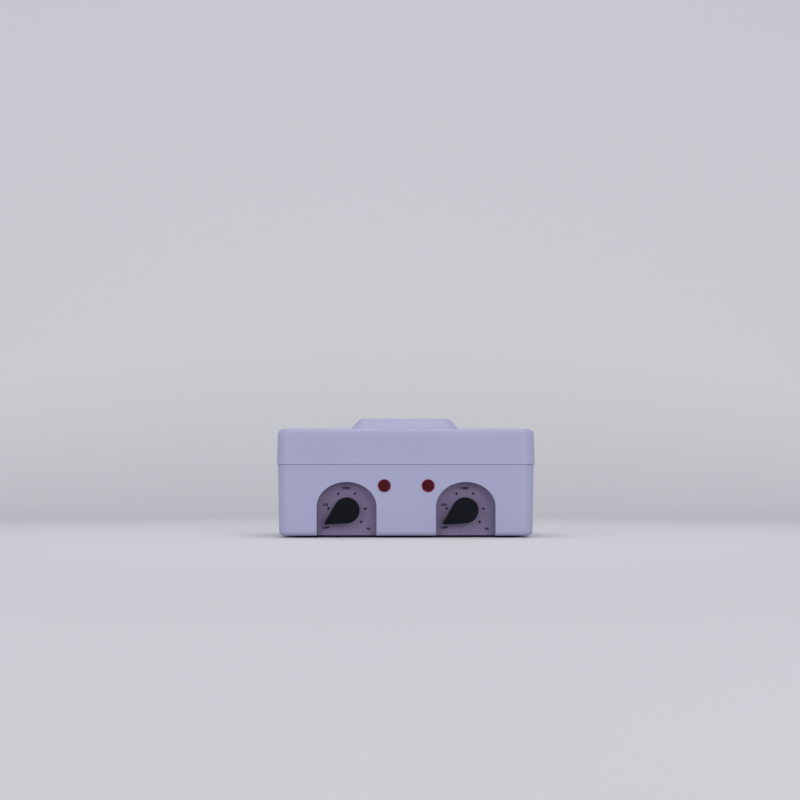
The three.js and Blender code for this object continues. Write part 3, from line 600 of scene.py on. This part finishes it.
pick(tub, "edges", lambda edge, middle: level(tub_high.z)(edge, middle)
     and any(upright(face) for face in edge.link_faces))
bpy.ops.mesh.bevel(offset=rebate_edge_radius, segments=2, affect="EDGES")
bpy.ops.object.mode_set(mode="OBJECT")
smooth(tub)
hand_over(tub, "tub_shell", "housing", "shell_plastic", shell_plastic, "lower_housing")


# The deck. A moulded plate sits in the tub's rebate and closes it. Its raised lip locates the lid, the
# wells hang in its two openings, and pillars under it take the screws that come up through the tub.
def round_edges(piece, chosen, radius, steps=3):
    """Rounds the chosen edges of a piece."""
    pick(piece, "edges", chosen)
    bpy.ops.mesh.bevel(offset=radius, segments=steps, affect="EDGES")
    bpy.ops.object.mode_set(mode="OBJECT")


deck_width = deck_high_corner.x - deck_low_corner.x
deck_depth = deck_high_corner.y - deck_low_corner.y
lip_wall = 1.7 * mm
lip_height = 3 * mm
lip_top = deck_high_corner.z
well_x = 76 * mm
well_y = 10 * mm
well_hole_radius = 62 * mm
well_hole_sides = 96
lip_edge_radius = 0.5 * mm
pillar_radius = 4.5 * mm
pillar_bite = 0.5 * mm

deck = rounded_plate(deck_width, deck_depth, lip_top, deck_corner_radius)
bpy.ops.mesh.inset(thickness=lip_wall)
bpy.ops.mesh.extrude_region_move(TRANSFORM_OT_translate={"value": (0, 0, -lip_height)})
pick(deck, "edges", lambda edge, middle: edge.is_boundary)
bpy.ops.mesh.extrude_edges_move(TRANSFORM_OT_translate={"value": (0, 0, deck_low - lip_top)})
pick(deck, "edges", lambda edge, middle: edge.is_boundary)
bpy.ops.mesh.edge_face_add()
outward(deck)
carve(deck, [
    bar(
        well_hole_radius,
        (side * well_x, well_y, deck_low - spare),
        (side * well_x, well_y, lip_top + spare),
        well_hole_sides,
    )
    for side in sides.values()
])
pillars = [
    bar(pillar_radius, (x, y, floor_top + post_height + gap), (x, y, deck_low + pillar_bite), 24)
    for x, y in screw_places
]
carve(deck, pillars, "UNION")
round_edges(deck, level(lip_top), lip_edge_radius)
smooth(deck)
hand_over(deck, "deck_plate", "housing", "shell_plastic", shell_plastic, "top_deck")


# The wells. Each is a bowl drawn from aluminium sheet, with a polished flange that rests on the deck. A
# ring under the deck holds it, and a band heater is clamped round it.
weld_reach = 0.001 * mm


def arc(radius, centre_radius, centre_height, start, end, steps=6):
    """Rings round part of a circle of a turned profile, between two angles in degrees."""
    rings = []
    for step in range(steps + 1):
        angle = math.radians(start + (end - start) * step / steps)
        rings.append((centre_radius + radius * math.cos(angle), centre_height + radius * math.sin(angle)))
    return rings


def turned(x, y, profile, turn_sides=96):
    """A round piece drawn out ring by ring, from a flat disc at its first ring to one at its last."""
    deselect()
    radius, height = profile[0]
    closed_ring = profile[0] == profile[-1]
    bpy.ops.mesh.primitive_circle_add(
        vertices=turn_sides,
        radius=radius,
        location=(x, y, height),
        fill_type="NOTHING" if closed_ring else "NGON",
    )
    piece = settle(bpy.context.object, "turned")
    pick(piece, "edges", lambda edge, middle: True)
    for next_radius, next_height in profile[1:]:
        bpy.ops.mesh.extrude_edges_move(TRANSFORM_OT_translate={"value": (0, 0, next_height - height)})
        share = next_radius / radius
        bpy.ops.transform.resize(value=(share, share, 1), center_override=(x, y, next_height))
        radius, height = next_radius, next_height
    if closed_ring:
        pick(piece, "verts", lambda vert, middle: True)
        bpy.ops.mesh.remove_doubles(threshold=weld_reach)
    else:
        bpy.ops.mesh.edge_face_add()
    return outward(piece)


def metal_group():
    """Worked metal: fine lines round an axis, with broad soft bands of lighter and darker metal."""
    group, given = new_group("turned_metal", (
        ("Vector", "Vector", (0, 0, 0)), ("Colour", "Color", (0.8, 0.8, 0.82, 1)),
        ("Line Size", "Float", 0.3), ("Gloss", "Float", 0.3),
    ))
    split = node(group, "ShaderNodeSeparateXYZ", {0: given["Vector"]}).outputs
    flat = node(group, "ShaderNodeCombineXYZ", {"X": split["X"], "Y": split["Y"]})
    reach = node(group, "ShaderNodeVectorMath", {0: flat.outputs[0]}, operation="LENGTH")
    rings = node(group, "ShaderNodeCombineXYZ", {"X": reach.outputs["Value"], "Y": split["Z"]}).outputs[0]
    pitch = node(group, "ShaderNodeMath", {0: 1 / mm, 1: given["Line Size"]}, operation="DIVIDE")
    lines = node(group, "ShaderNodeTexNoise", {"Vector": rings, "Scale": pitch.outputs[0], "Detail": 3})
    bands = node(group, "ShaderNodeTexNoise", {"Vector": rings, "Scale": 60})
    stain = node(group, "ShaderNodeTexNoise", {"Vector": given["Vector"], "Scale": 22, "Detail": 5})
    both = node(group, "ShaderNodeMath", {
        0: bands.outputs["Fac"], 1: stain.outputs["Fac"],
    }, operation="MULTIPLY")
    shade = node(group, "ShaderNodeMapRange", {
        "Value": both.outputs[0], "From Min": 0.15, "From Max": 0.4, "To Min": 0.18, "To Max": 0,
    })
    colour = node(group, "ShaderNodeMix", {
        "Factor": shade.outputs["Result"], "A": given["Colour"], "B": (0.1, 0.1, 0.1, 1),
    }, data_type="RGBA")
    spread = node(group, "ShaderNodeMapRange", {
        "Value": lines.outputs["Fac"], "From Min": 0.3, "From Max": 0.7, "To Min": -0.08, "To Max": 0.08,
    })
    gloss = node(group, "ShaderNodeMath", {0: given["Gloss"], 1: spread.outputs["Result"]})
    node(group, "NodeGroupOutput", {
        "Colour": colour.outputs["Result"], "Roughness": gloss.outputs[0], "Height": lines.outputs["Fac"],
    })
    return group


worked_metal = metal_group()
line_depth = 0.004 * mm


def turned_metal(name, colour, gloss, centre=(0, 0, 0), line_size=0.3):
    """A metal whose fine lines run round the upright axis through a centre."""
    material, tree, shader = new_material(name, colour, gloss, metallic=1.0)
    place = node(tree, "ShaderNodeTexCoord", {}).outputs["Object"]
    centred = node(tree, "ShaderNodeMapping", {"Vector": place, "Location": centre}, vector_type="TEXTURE")
    add_skin(tree, shader, worked_metal, line_depth, {
        "Vector": centred.outputs["Vector"], "Colour": (*colour, 1), "Line Size": line_size, "Gloss": gloss,
    })
    return material


def dress(material, *names):
    """Gives CAD nodes that keep their own shape a material."""
    for name in names:
        for material_slot in nodes[name].material_slots:
            material_slot.material = material


aluminium_colour = (0.78, 0.79, 0.81)
steel_colour = (0.52, 0.53, 0.55)
well_radius = 60.5 * mm
well_outside = 61.7 * mm
well_root_radius = 7 * mm
well_gauge = 1.2 * mm
flange_radius = 70 * mm
flange_low = 95.8 * mm
flange_top = 97 * mm
well_low = 27.8 * mm
well_bead_radius = 0.9 * mm
well_bead_height = 90.5 * mm
inner_root = well_root_radius - well_gauge
flange_edge = 0.5 * mm
mouth_round = 1.4 * mm
well_profile = [
    *arc(well_root_radius, well_outside - well_root_radius, well_low + well_root_radius, -90, 0, 8),
    (well_outside, well_bead_height - well_bead_radius),
    *arc(well_bead_radius, well_outside, well_bead_height, -90, 90, 6),
    (well_outside, flange_low),
    *arc(flange_edge, flange_radius - flange_edge, flange_low + flange_edge, -90, 0, 3),
    *arc(flange_edge, flange_radius - flange_edge, flange_top - flange_edge, 0, 90, 3),
    *arc(mouth_round, well_radius + mouth_round, flange_top - mouth_round, 90, 180, 5),
    *arc(inner_root, well_radius - inner_root, well_low + well_gauge + inner_root, 0, -90, 8),
]
for name, side in sides.items():
    centre = (side * well_x, well_y, 0)
    well = turned(centre[0], centre[1], well_profile)
    smooth(well, sharp_angle=40)
    metal = turned_metal(f"{name}_well_aluminium", aluminium_colour, gloss=0.3, centre=centre)
    hand_over(well, f"{name}_well_bowl", "housing", "aluminium", metal, f"{name}_well")


# The pots. Each is a spun aluminium bucket with a rolled rim that hangs it in its well, so that it can be
# lifted out by its wire bail with the wax in it. Two ears welded to the rim carry the bail.
pot_low = 29.2 * mm
pot_gauge = 1 * mm
pot_top_radius = 58.9 * mm
pot_foot_radius = 56.3 * mm
pot_root_radius = 6 * mm
rim_low = 97.2 * mm
rim_high = 99.6 * mm
rim_radius = 63.5 * mm
bead_radius = 0.8 * mm
shoulder = 1 * mm
rim_fillet = 0.3 * mm
lip_low = rim_low + pot_gauge
pot_inner_root = pot_root_radius - pot_gauge
pot_profile = [
    *arc(pot_root_radius, pot_foot_radius - pot_root_radius, pot_low + pot_root_radius, -90, 0, 8),
    *arc(shoulder, pot_top_radius + shoulder, rim_low - shoulder, 180, 90, 4),
    *arc(bead_radius, rim_radius - bead_radius, rim_low + bead_radius, -90, 0, 4),
    *arc(bead_radius, rim_radius - bead_radius, rim_high - bead_radius, 0, 180, 8),
    *arc(rim_fillet, rim_radius - 2 * bead_radius - rim_fillet, lip_low + rim_fillet, 0, -90, 2),
    *arc(shoulder, pot_top_radius - pot_gauge + shoulder, lip_low - shoulder, 90, 180, 4),
    *arc(
        pot_inner_root, pot_foot_radius - pot_gauge - pot_inner_root, pot_low + pot_root_radius, 0, -90, 8,
    ),
]
ear_width = 12 * mm
ear_corner = 4.6 * mm
ear_gauge = 1.2 * mm
ear_edge_radius = 0.15 * mm
ear_sharp_angle = 1
ear_hole_radius = 1.55 * mm
pivot_z = 104.1 * mm
bail_wire = 1.25 * mm
bail_reach = 66.75 * mm
bail_bend = 3.4 * mm
bail_end = 57.96 * mm
bail_head_radius = 1.9 * mm
bail_head_depth = 0.8 * mm
mirror_weld = 0.05 * mm
bail_tilt = math.asin((pivot_z - flange_top - bail_wire - gap) / bail_reach)


def bail_hoop():
    """A round wire: two short ends in the ears, a bend at each, and a hoop that clears the rim."""
    deselect()
    bpy.ops.mesh.primitive_circle_add(
        vertices=16, radius=bail_head_radius, fill_type="NGON", location=(bail_end, 0, 0),
        rotation=(0, math.radians(90), 0),
    )
    hoop = settle(bpy.context.object, "hoop")
    pick(hoop, "faces", lambda face, middle: True)
    neck_share = bail_wire / bail_head_radius
    bpy.ops.mesh.extrude_region_move(TRANSFORM_OT_translate={"value": (bail_head_depth, 0, 0)})
    bpy.ops.mesh.extrude_region_move(TRANSFORM_OT_translate={"value": (0, 0, 0)})
    neck = bail_end + bail_head_depth
    bpy.ops.transform.resize(value=(1, neck_share, neck_share), center_override=(neck, 0, 0))
    straight = bail_reach - bail_bend
    bpy.ops.mesh.extrude_region_move(TRANSFORM_OT_translate={"value": (straight - neck, 0, 0)})
    bpy.ops.mesh.spin(steps=8, angle=math.radians(90), center=(straight, bail_bend, 0), axis=(0, 0, -1))
    bpy.ops.mesh.spin(steps=36, angle=math.radians(90), center=(0, bail_bend, 0), axis=(0, 0, -1))
    bpy.ops.mesh.delete(type="FACE")
    pick(hoop, "verts", lambda vert, middle: middle.y > bail_bend + hair)
    bpy.ops.transform.resize(value=(1, straight / bail_reach, 1), center_override=(0, bail_bend, 0))
    bpy.ops.object.mode_set(mode="OBJECT")
    apply_modifier(
        hoop, "MIRROR", use_axis=(True, False, False), use_clip=True, merge_threshold=mirror_weld,
    )
    return outward(hoop)


def block(middle, size):
    """A rectangular block of a given size round its middle."""
    deselect()
    bpy.ops.mesh.primitive_cube_add(size=1, location=middle)
    bpy.context.object.scale = size
    return settle(bpy.context.object, "block")


hoop = bail_hoop()
for name, side in sides.items():
    centre = (side * well_x, well_y, 0)
    pot = turned(centre[0], centre[1], pot_profile)
    smooth(pot, sharp_angle=40)
    metal = turned_metal(
        f"{name}_pot_aluminium", aluminium_colour, gloss=0.24, centre=centre, line_size=0.4,
    )
    hand_over(pot, f"{name}_pot_bucket", f"{name}_pot", "aluminium", metal, f"{name}_pot")
    for number, end in ((1, -1), (2, 1)):
        ear = f"{name}_pot_ear_{number}"
        low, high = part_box(ear)
        outer_x = high.x if end > 0 else low.x
        tab = block(
            (outer_x - end * ear_gauge / 2, well_y, (low.z + high.z) / 2),
            (ear_gauge, ear_width, high.z - low.z),
        )
        round_edges(tab, lambda edge, middle: middle.z > high.z - gap
                    and abs(middle.y - well_y) > ear_width / 3, ear_corner, 8)
        foot = block(
            ((low.x + high.x) / 2, well_y, low.z + ear_gauge / 2),
            (high.x - low.x, ear_width, ear_gauge),
        )
        carve(tab, [foot], "UNION")
        carve(tab, [bar(
            ear_hole_radius,
            (outer_x - 3 * end * ear_gauge, well_y, pivot_z),
            (outer_x + 3 * end * ear_gauge, well_y, pivot_z),
        )])
        round_edges(tab, lambda edge, middle: len(edge.link_faces) == 2
                    and edge.calc_face_angle() > ear_sharp_angle, ear_edge_radius, 2)
        smooth(tab)
        metal = turned_metal(
            f"{ear}_aluminium", aluminium_colour, gloss=0.34, centre=(outer_x, well_y, pivot_z),
            line_size=0.5,
        )
        hand_over(tab, f"{name}_ear_{number}", f"{name}_pot", "aluminium", metal, ear)
    bail = copy_of(hoop, f"{name}_bail_wire")
    bail.rotation_euler = (-bail_tilt, 0, 0)
    bail.location = (centre[0], well_y, pivot_z)
    settle(bail, f"{name}_bail_wire")
    smooth(bail, sharp_angle=50)
    metal = turned_metal(f"{name}_bail_steel", steel_colour, gloss=0.22, centre=centre, line_size=0.6)
    hand_over(bail, f"{name}_bail_wire", f"{name}_bail", "steel", metal, f"{name}_bail")
bpy.data.objects.remove(hoop)


# The dial plates. A flat arched plate of fine-grained mauve-grey plastic covers each pocket's back wall,
# held by the thermostat's nut. Its words and dots are printed in black.
dial_mauve = (0.232, 0.186, 0.315)
ink_black = (0.005, 0.004, 0.007)
dial_edge_radius = 0.25 * mm
letter_height = 3.4 * mm
letter_share = 0.7
letter_space = 1.1
letter_swell = 0.32 * mm
bold_swell = 0.42 * mm
second_strike = 0.42 * mm
ink_depth = 0.05 * mm
dot_radius = 1.62 * mm
dot_circle = 24.4 * mm
dot_angles = (174, 117.4, 64, 4.8, -38.7)
# Each word has its swell, and in millimetres its width and its place right of and above the knob's axis.
words = (
    ("OFF", letter_swell, 8.9, -27.2, -22.8),
    ("LO", bold_swell, 6.9, -27.7, 7.4),
    ("M", 0, 4.1, -4.1, 29.0),
    ("ED", letter_swell, 6.3, 1.6, 29.0),
    ("HI", letter_swell, 5.0, 28.4, -24.4),
)

dial_plastic = moulded_plastic(
    "dial_plastic", dial_mauve, gloss=0.55, shade=0.12, grain_size=0.35, grain_depth=0.02 * mm,
    specular=0.3,
)
ink = moulded_plastic(
    "dial_ink", ink_black, gloss=0.65, shade=0.5, grain_size=0.25, grain_depth=0.01 * mm, specular=0.1,
)


def facing(depth, slack=0.02 * mm):
    """A test for edges that lie in one plane facing the front."""
    return lambda edge, middle: all(abs(vert.co.y - depth) < slack for vert in edge.verts)


def printed_word(word, swell, width, x, z, face):
    """A word in flat bold letters of a given width. Letters with no swell are struck twice instead."""
    deselect()
    bpy.ops.object.text_add(location=(x, face, z), rotation=(math.radians(90), 0, 0))
    letters = bpy.context.object
    letters.data.body = word
    letters.data.size = letter_height / letter_share
    letters.data.offset = swell
    letters.data.space_character = letter_space
    letters.data.extrude = ink_depth / 2
    letters.data.resolution_u = 4
    bpy.ops.object.convert(target="MESH")
    settle(letters, "word")
    if not swell:
        pick(letters, "verts", lambda vert, middle: True)
        bpy.ops.mesh.remove_doubles(threshold=weld_reach)
        bpy.ops.object.mode_set(mode="OBJECT")
        again = copy_of(letters, "again")
        again.location.x = second_strike
        carve(letters, [settle(again, "again")], "UNION")
    spots = [vert.co for vert in letters.data.vertices]
    left, right = min(spot.x for spot in spots), max(spot.x for spot in spots)
    foot, head = min(spot.z for spot in spots), max(spot.z for spot in spots)
    pick(letters, "verts", lambda vert, middle: True)
    bpy.ops.transform.resize(
        value=(width / (right - left), 1, letter_height / (head - foot)),
        center_override=(left, face, foot),
    )
    bpy.ops.transform.translate(value=(x - width / 2 - left, 0, z - letter_height / 2 - foot))
    bpy.ops.object.mode_set(mode="OBJECT")
    return letters


for name, side in sides.items():
    axis_x = side * knob_axis_x
    plate = arch(axis_x, -gap, dial_low.z, dial_high.y, dial_low.y)
    round_edges(plate, facing(dial_low.y), dial_edge_radius, 2)
    carve(plate, [bar(
        panel_hole_radius,
        (axis_x, dial_low.y - spare, knob_axis_z),
        (axis_x, dial_high.y + spare, knob_axis_z),
    )])
    smooth(plate)
    hand_over(plate, f"{name}_dial_face", "housing", "dial_plastic", dial_plastic, f"{name}_dial_plate")
    face = dial_low.y - ink_depth / 2
    marks = [
        printed_word(word, swell, width * mm, axis_x + x * mm, knob_axis_z + z * mm, face)
        for word, swell, width, x, z in words
    ]
    for angle in dot_angles:
        dot_x = axis_x + dot_circle * math.cos(math.radians(angle))
        dot_z = knob_axis_z + dot_circle * math.sin(math.radians(angle))
        marks.append(bar(
            dot_radius, (dot_x, face - ink_depth / 2, dot_z), (dot_x, face + ink_depth / 2, dot_z), 24,
        ))
    hand_over(joined(marks), f"{name}_dial_print", "housing", "dial_plastic", ink)


# The knobs. Each is a black moulded teardrop whose point shows the setting. Its skirt hides the panel nut,
# and its bore pushes onto the thermostat's shaft.
knob_radius = 16.95 * mm
knob_tip_radius = 1.6 * mm
knob_tip_distance = 32.5 * mm
knob_off_angle = math.radians(211.5)
knob_edge_radius = 1.2 * mm
knob_draft_share = 0.985
hull_flat_angle = math.radians(1)
skirt_radius = 9.2 * mm
skirt_depth = 4.4 * mm
bore_radius = 3.2 * mm
bore_depth = 11.3 * mm

knob_black = (0.0040, 0.0048, 0.0068)
knob_plastic = moulded_plastic(
    "knob_plastic", knob_black, gloss=0.5, shade=0.3, grain_size=0.3, grain_depth=0.012 * mm,
    specular=0.04,
)
for name, side in sides.items():
    axis_x = side * knob_axis_x
    low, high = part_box(f"{name}_knob")
    tip_x = axis_x + knob_tip_distance * math.cos(knob_off_angle)
    tip_z = knob_axis_z + knob_tip_distance * math.sin(knob_off_angle)
    knob = joined([
        bar(knob_radius, (axis_x, high.y, knob_axis_z), (axis_x, low.y, knob_axis_z), 128),
        bar(knob_tip_radius, (tip_x, high.y, tip_z), (tip_x, low.y, tip_z), 32),
    ])
    pick(knob, "verts", lambda vert, middle: True)
    bpy.ops.mesh.convex_hull(join_triangles=False)
    bpy.ops.mesh.select_all(action="SELECT")
    bpy.ops.mesh.dissolve_limited(angle_limit=hull_flat_angle)
    pick(knob, "verts", lambda vert, middle: middle.y < (low.y + high.y) / 2)
    bpy.ops.transform.resize(
        value=(knob_draft_share, 1, knob_draft_share), center_override=(axis_x, low.y, knob_axis_z),
    )
    outward(knob)
    round_edges(knob, facing(low.y), knob_edge_radius, 5)
    skirt_floor = high.y - skirt_depth
    for radius, front, back in (
        (skirt_radius, skirt_floor, high.y + spare), (bore_radius, high.y - bore_depth, skirt_floor + mm),
    ):
        carve(knob, [bar(radius, (axis_x, back, knob_axis_z), (axis_x, front, knob_axis_z))])
    smooth(knob)
    hand_over(knob, f"{name}_control_knob", f"{name}_knob", "knob_plastic", knob_plastic, f"{name}_knob")


# The pilot lamps. A clear red lens with a low dome plugs into a black holder that snaps into the front
# wall. Rings are moulded into the back of the lens to spread the light.
lens_depth = 5 * mm
lens_stem_radius = 5.4 * mm
lens_seat = 0.2 * mm
lens_edge_radius = 0.35 * mm
lens_shoulder = 0.75 * mm
lens_dome = ((0.9, 0.34), (0.7, 0.14), (0.45, 0.04), (0.2, 0))
ring_pitch = 1.3 * mm
ring_depth = 0.012 * mm
lens_red = (0.058, 0.006, 0.010)
# The lighter red of the lens's rim is a painted sheen, not a redder plastic.
lens_rim_sheen_red = (0.17, 0.010, 0.035)
lens_core_radius = 6.4 * mm
lens_rim_radius = 8.1 * mm
lens_shine = 0.14
lens_rubbing = 0.34


def lens_plastic():
    """Clear red plastic: dark over the lamp, with a painted sheen of lighter red round its rim, moulded
    rings and rubbed marks.
    """
    material, tree, shader = new_material("lamp_plastic", lens_red, lens_shine, specular=0.06)
    place = node(tree, "ShaderNodeTexCoord", {}).outputs["Object"]
    split = node(tree, "ShaderNodeSeparateXYZ", {0: place}).outputs
    either_side = node(tree, "ShaderNodeMath", {0: split["X"]}, operation="ABSOLUTE")
    across = node(tree, "ShaderNodeMath", {0: either_side.outputs[0], 1: lamp_x}, operation="SUBTRACT")
    up = node(tree, "ShaderNodeMath", {0: split["Z"], 1: lamp_z}, operation="SUBTRACT")
    flat = node(tree, "ShaderNodeCombineXYZ", {"X": across.outputs[0], "Y": up.outputs[0]})
    reach = node(tree, "ShaderNodeVectorMath", {0: flat.outputs[0]}, operation="LENGTH")
    reach = reach.outputs["Value"]
    # Painted sheen: the colour turns lighter red from the lens's core out to its rim.
    rim = node(tree, "ShaderNodeMapRange", {
        "Value": reach, "From Min": lens_core_radius, "From Max": lens_rim_radius,
    })
    colour = node(tree, "ShaderNodeMix", {
        "Factor": rim.outputs["Result"], "A": (*lens_red, 1), "B": (*lens_rim_sheen_red, 1),
    }, data_type="RGBA")
    marks = node(tree, "ShaderNodeTexNoise", {"Vector": place, "Scale": 700, "Detail": 5})
    gloss = node(tree, "ShaderNodeMapRange", {
        "Value": marks.outputs["Fac"], "To Min": lens_shine, "To Max": lens_rubbing,
    })
    waves = node(tree, "ShaderNodeMath", {0: reach, 1: 2 * math.pi / ring_pitch}, operation="MULTIPLY")
    rings = node(tree, "ShaderNodeMath", {0: waves.outputs[0]}, operation="SINE")
    bump = node(tree, "ShaderNodeBump", {"Distance": ring_depth, "Height": rings.outputs[0]})
    wire(tree, shader, {
        "Base Color": colour.outputs["Result"], "Roughness": gloss.outputs["Result"],
        "Normal": bump.outputs["Normal"], "Coat Weight": 0.04, "Coat Roughness": 0.1,
    })
    return material


lamp_plastic = lens_plastic()
for name, side in sides.items():
    low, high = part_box(f"{name}_lamp_lens")
    wall = high.y - lens_depth
    lens_radius = (high.x - low.x) / 2
    lens_height = wall - low.y
    lens = turned(0, 0, [
        (lens_stem_radius, -lens_depth),
        (lens_stem_radius, lens_seat),
        (lens_radius, lens_seat),
        *arc(lens_edge_radius, lens_radius - lens_edge_radius, lens_height - lens_shoulder, 0, 75, 4),
        *((lens_radius * share, lens_height - drop * mm) for share, drop in lens_dome),
    ], 64)
    lens.rotation_euler = (math.radians(90), 0, 0)
    lens.location = ((low.x + high.x) / 2, wall, lamp_z)
    settle(lens, "lens")
    smooth(lens, sharp_angle=50)
    hand_over(lens, f"{name}_lamp_dome", "housing", "lamp_plastic", lamp_plastic, f"{name}_lamp_lens")


# The feet. Four soft rubber pads with a barbed stem, each pushed up through a hole in the tub's floor.
foot_radius = 8.25 * mm
foot_pad = 2.4 * mm
foot_round = 0.7 * mm
foot_top_round = 0.3 * mm
foot_stem_radius = 2.6 * mm
barb_radius = 3.8 * mm
barb_low = 5.7 * mm
barb_high = 8.3 * mm

rubber_grey = (0.018, 0.016, 0.021)
rubber = moulded_plastic(
    "foot_rubber", rubber_grey, gloss=0.8, shade=0.25, grain_size=0.6, grain_depth=0.03 * mm, specular=0.3,
)
for place in ("front_left", "front_right", "back_left", "back_right"):
    low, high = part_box(f"{place}_foot")
    pad = turned((low.x + high.x) / 2, (low.y + high.y) / 2, [
        *arc(foot_round, foot_radius - foot_round, foot_round, -90, 0, 4),
        *arc(foot_top_round, foot_radius - foot_top_round, foot_pad - foot_top_round, 0, 90, 3),
        (foot_stem_radius, foot_pad),
        (foot_stem_radius, barb_low),
        (barb_radius, barb_low),
        (foot_stem_radius, barb_high),
    ], 48)
    smooth(pad, sharp_angle=40)
    hand_over(pad, f"{place}_rubber_foot", "housing", "rubber", rubber, f"{place}_foot")


# The cord gland. A black bush through the tub's back wall, with a flange outside and a bead inside that
# keeps it in its hole.
gland_low, gland_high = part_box("cord_gland")
gland_bore_radius = 4.6 * mm
gland_neck_radius = 7 * mm
gland_flange_radius = 9.5 * mm
gland_flange = 1.4 * mm
gland_bead = 2.8 * mm
gland_edge_round = 0.5 * mm
gland_mouth_round = 0.8 * mm
gland_length = gland_high.y - gland_low.y
gland_black = (0.014, 0.014, 0.016)

dark_plastic = moulded_plastic("dark_plastic", gland_black, gloss=0.5, shade=0.25)
gland = turned(0, 0, [
    (gland_bore_radius, 0),
    (gland_neck_radius, 0),
    *arc(gland_bead / 2, gland_neck_radius, gland_bead / 2, -90, 90, 6),
    (gland_neck_radius, gland_length - gland_flange),
    (gland_flange_radius, gland_length - gland_flange),
    *arc(
        gland_edge_round, gland_flange_radius - gland_edge_round, gland_length - gland_edge_round,
        0, 90, 3,
    ),
    *arc(
        gland_mouth_round, gland_bore_radius + gland_mouth_round, gland_length - gland_mouth_round,
        90, 180, 3,
    ),
    (gland_bore_radius, 0),
], 64)
gland.rotation_euler = (math.radians(-90), 0, 0)
gland.location = (0, gland_low.y, gland_z)
settle(gland, "gland")
smooth(gland, sharp_angle=45)
hand_over(gland, "gland_bush", "housing", "dark_plastic", dark_plastic, "cord_gland")


# The parts inside the tub. Ceramic thermostats, cut-outs and a terminal block, steel bands, rings, nuts,
# shafts and screws, and silicone leads: plain bought-in parts that keep the shape of the frame.
ceramic_cream = (0.72, 0.68, 0.58)
silicone_buff = (0.46, 0.43, 0.36)

ceramic = moulded_plastic(
    "glazed_ceramic", ceramic_cream, gloss=0.5, shade=0.06, grain_size=0.8, grain_depth=0.02 * mm,
)
lead_silicone = moulded_plastic("lead_silicone", silicone_buff, gloss=0.62, shade=0.2, grain_size=0.4)
plated_steel = turned_metal("plated_steel", steel_colour, gloss=0.34, line_size=0.8)
dress(ceramic, "terminal_block")
dress(plated_steel, *(f"deck_screw_{number}" for number in range(1, 7)))
for name in sides:
    dress(ceramic, f"{name}_thermostat", f"{name}_cut_out")
    dress(dark_plastic, f"{name}_lamp_holder")
    dress(plated_steel, *(f"{name}_{part}" for part in (
        "shaft", "panel_nut", "retaining_ring", "ring_screw_1", "ring_screw_2", "heater_band", "band_screw",
    )))
    dress(lead_silicone, *(f"{name}_{use}_lead" for use in ("supply", "lamp", "heater", "cut_out")))
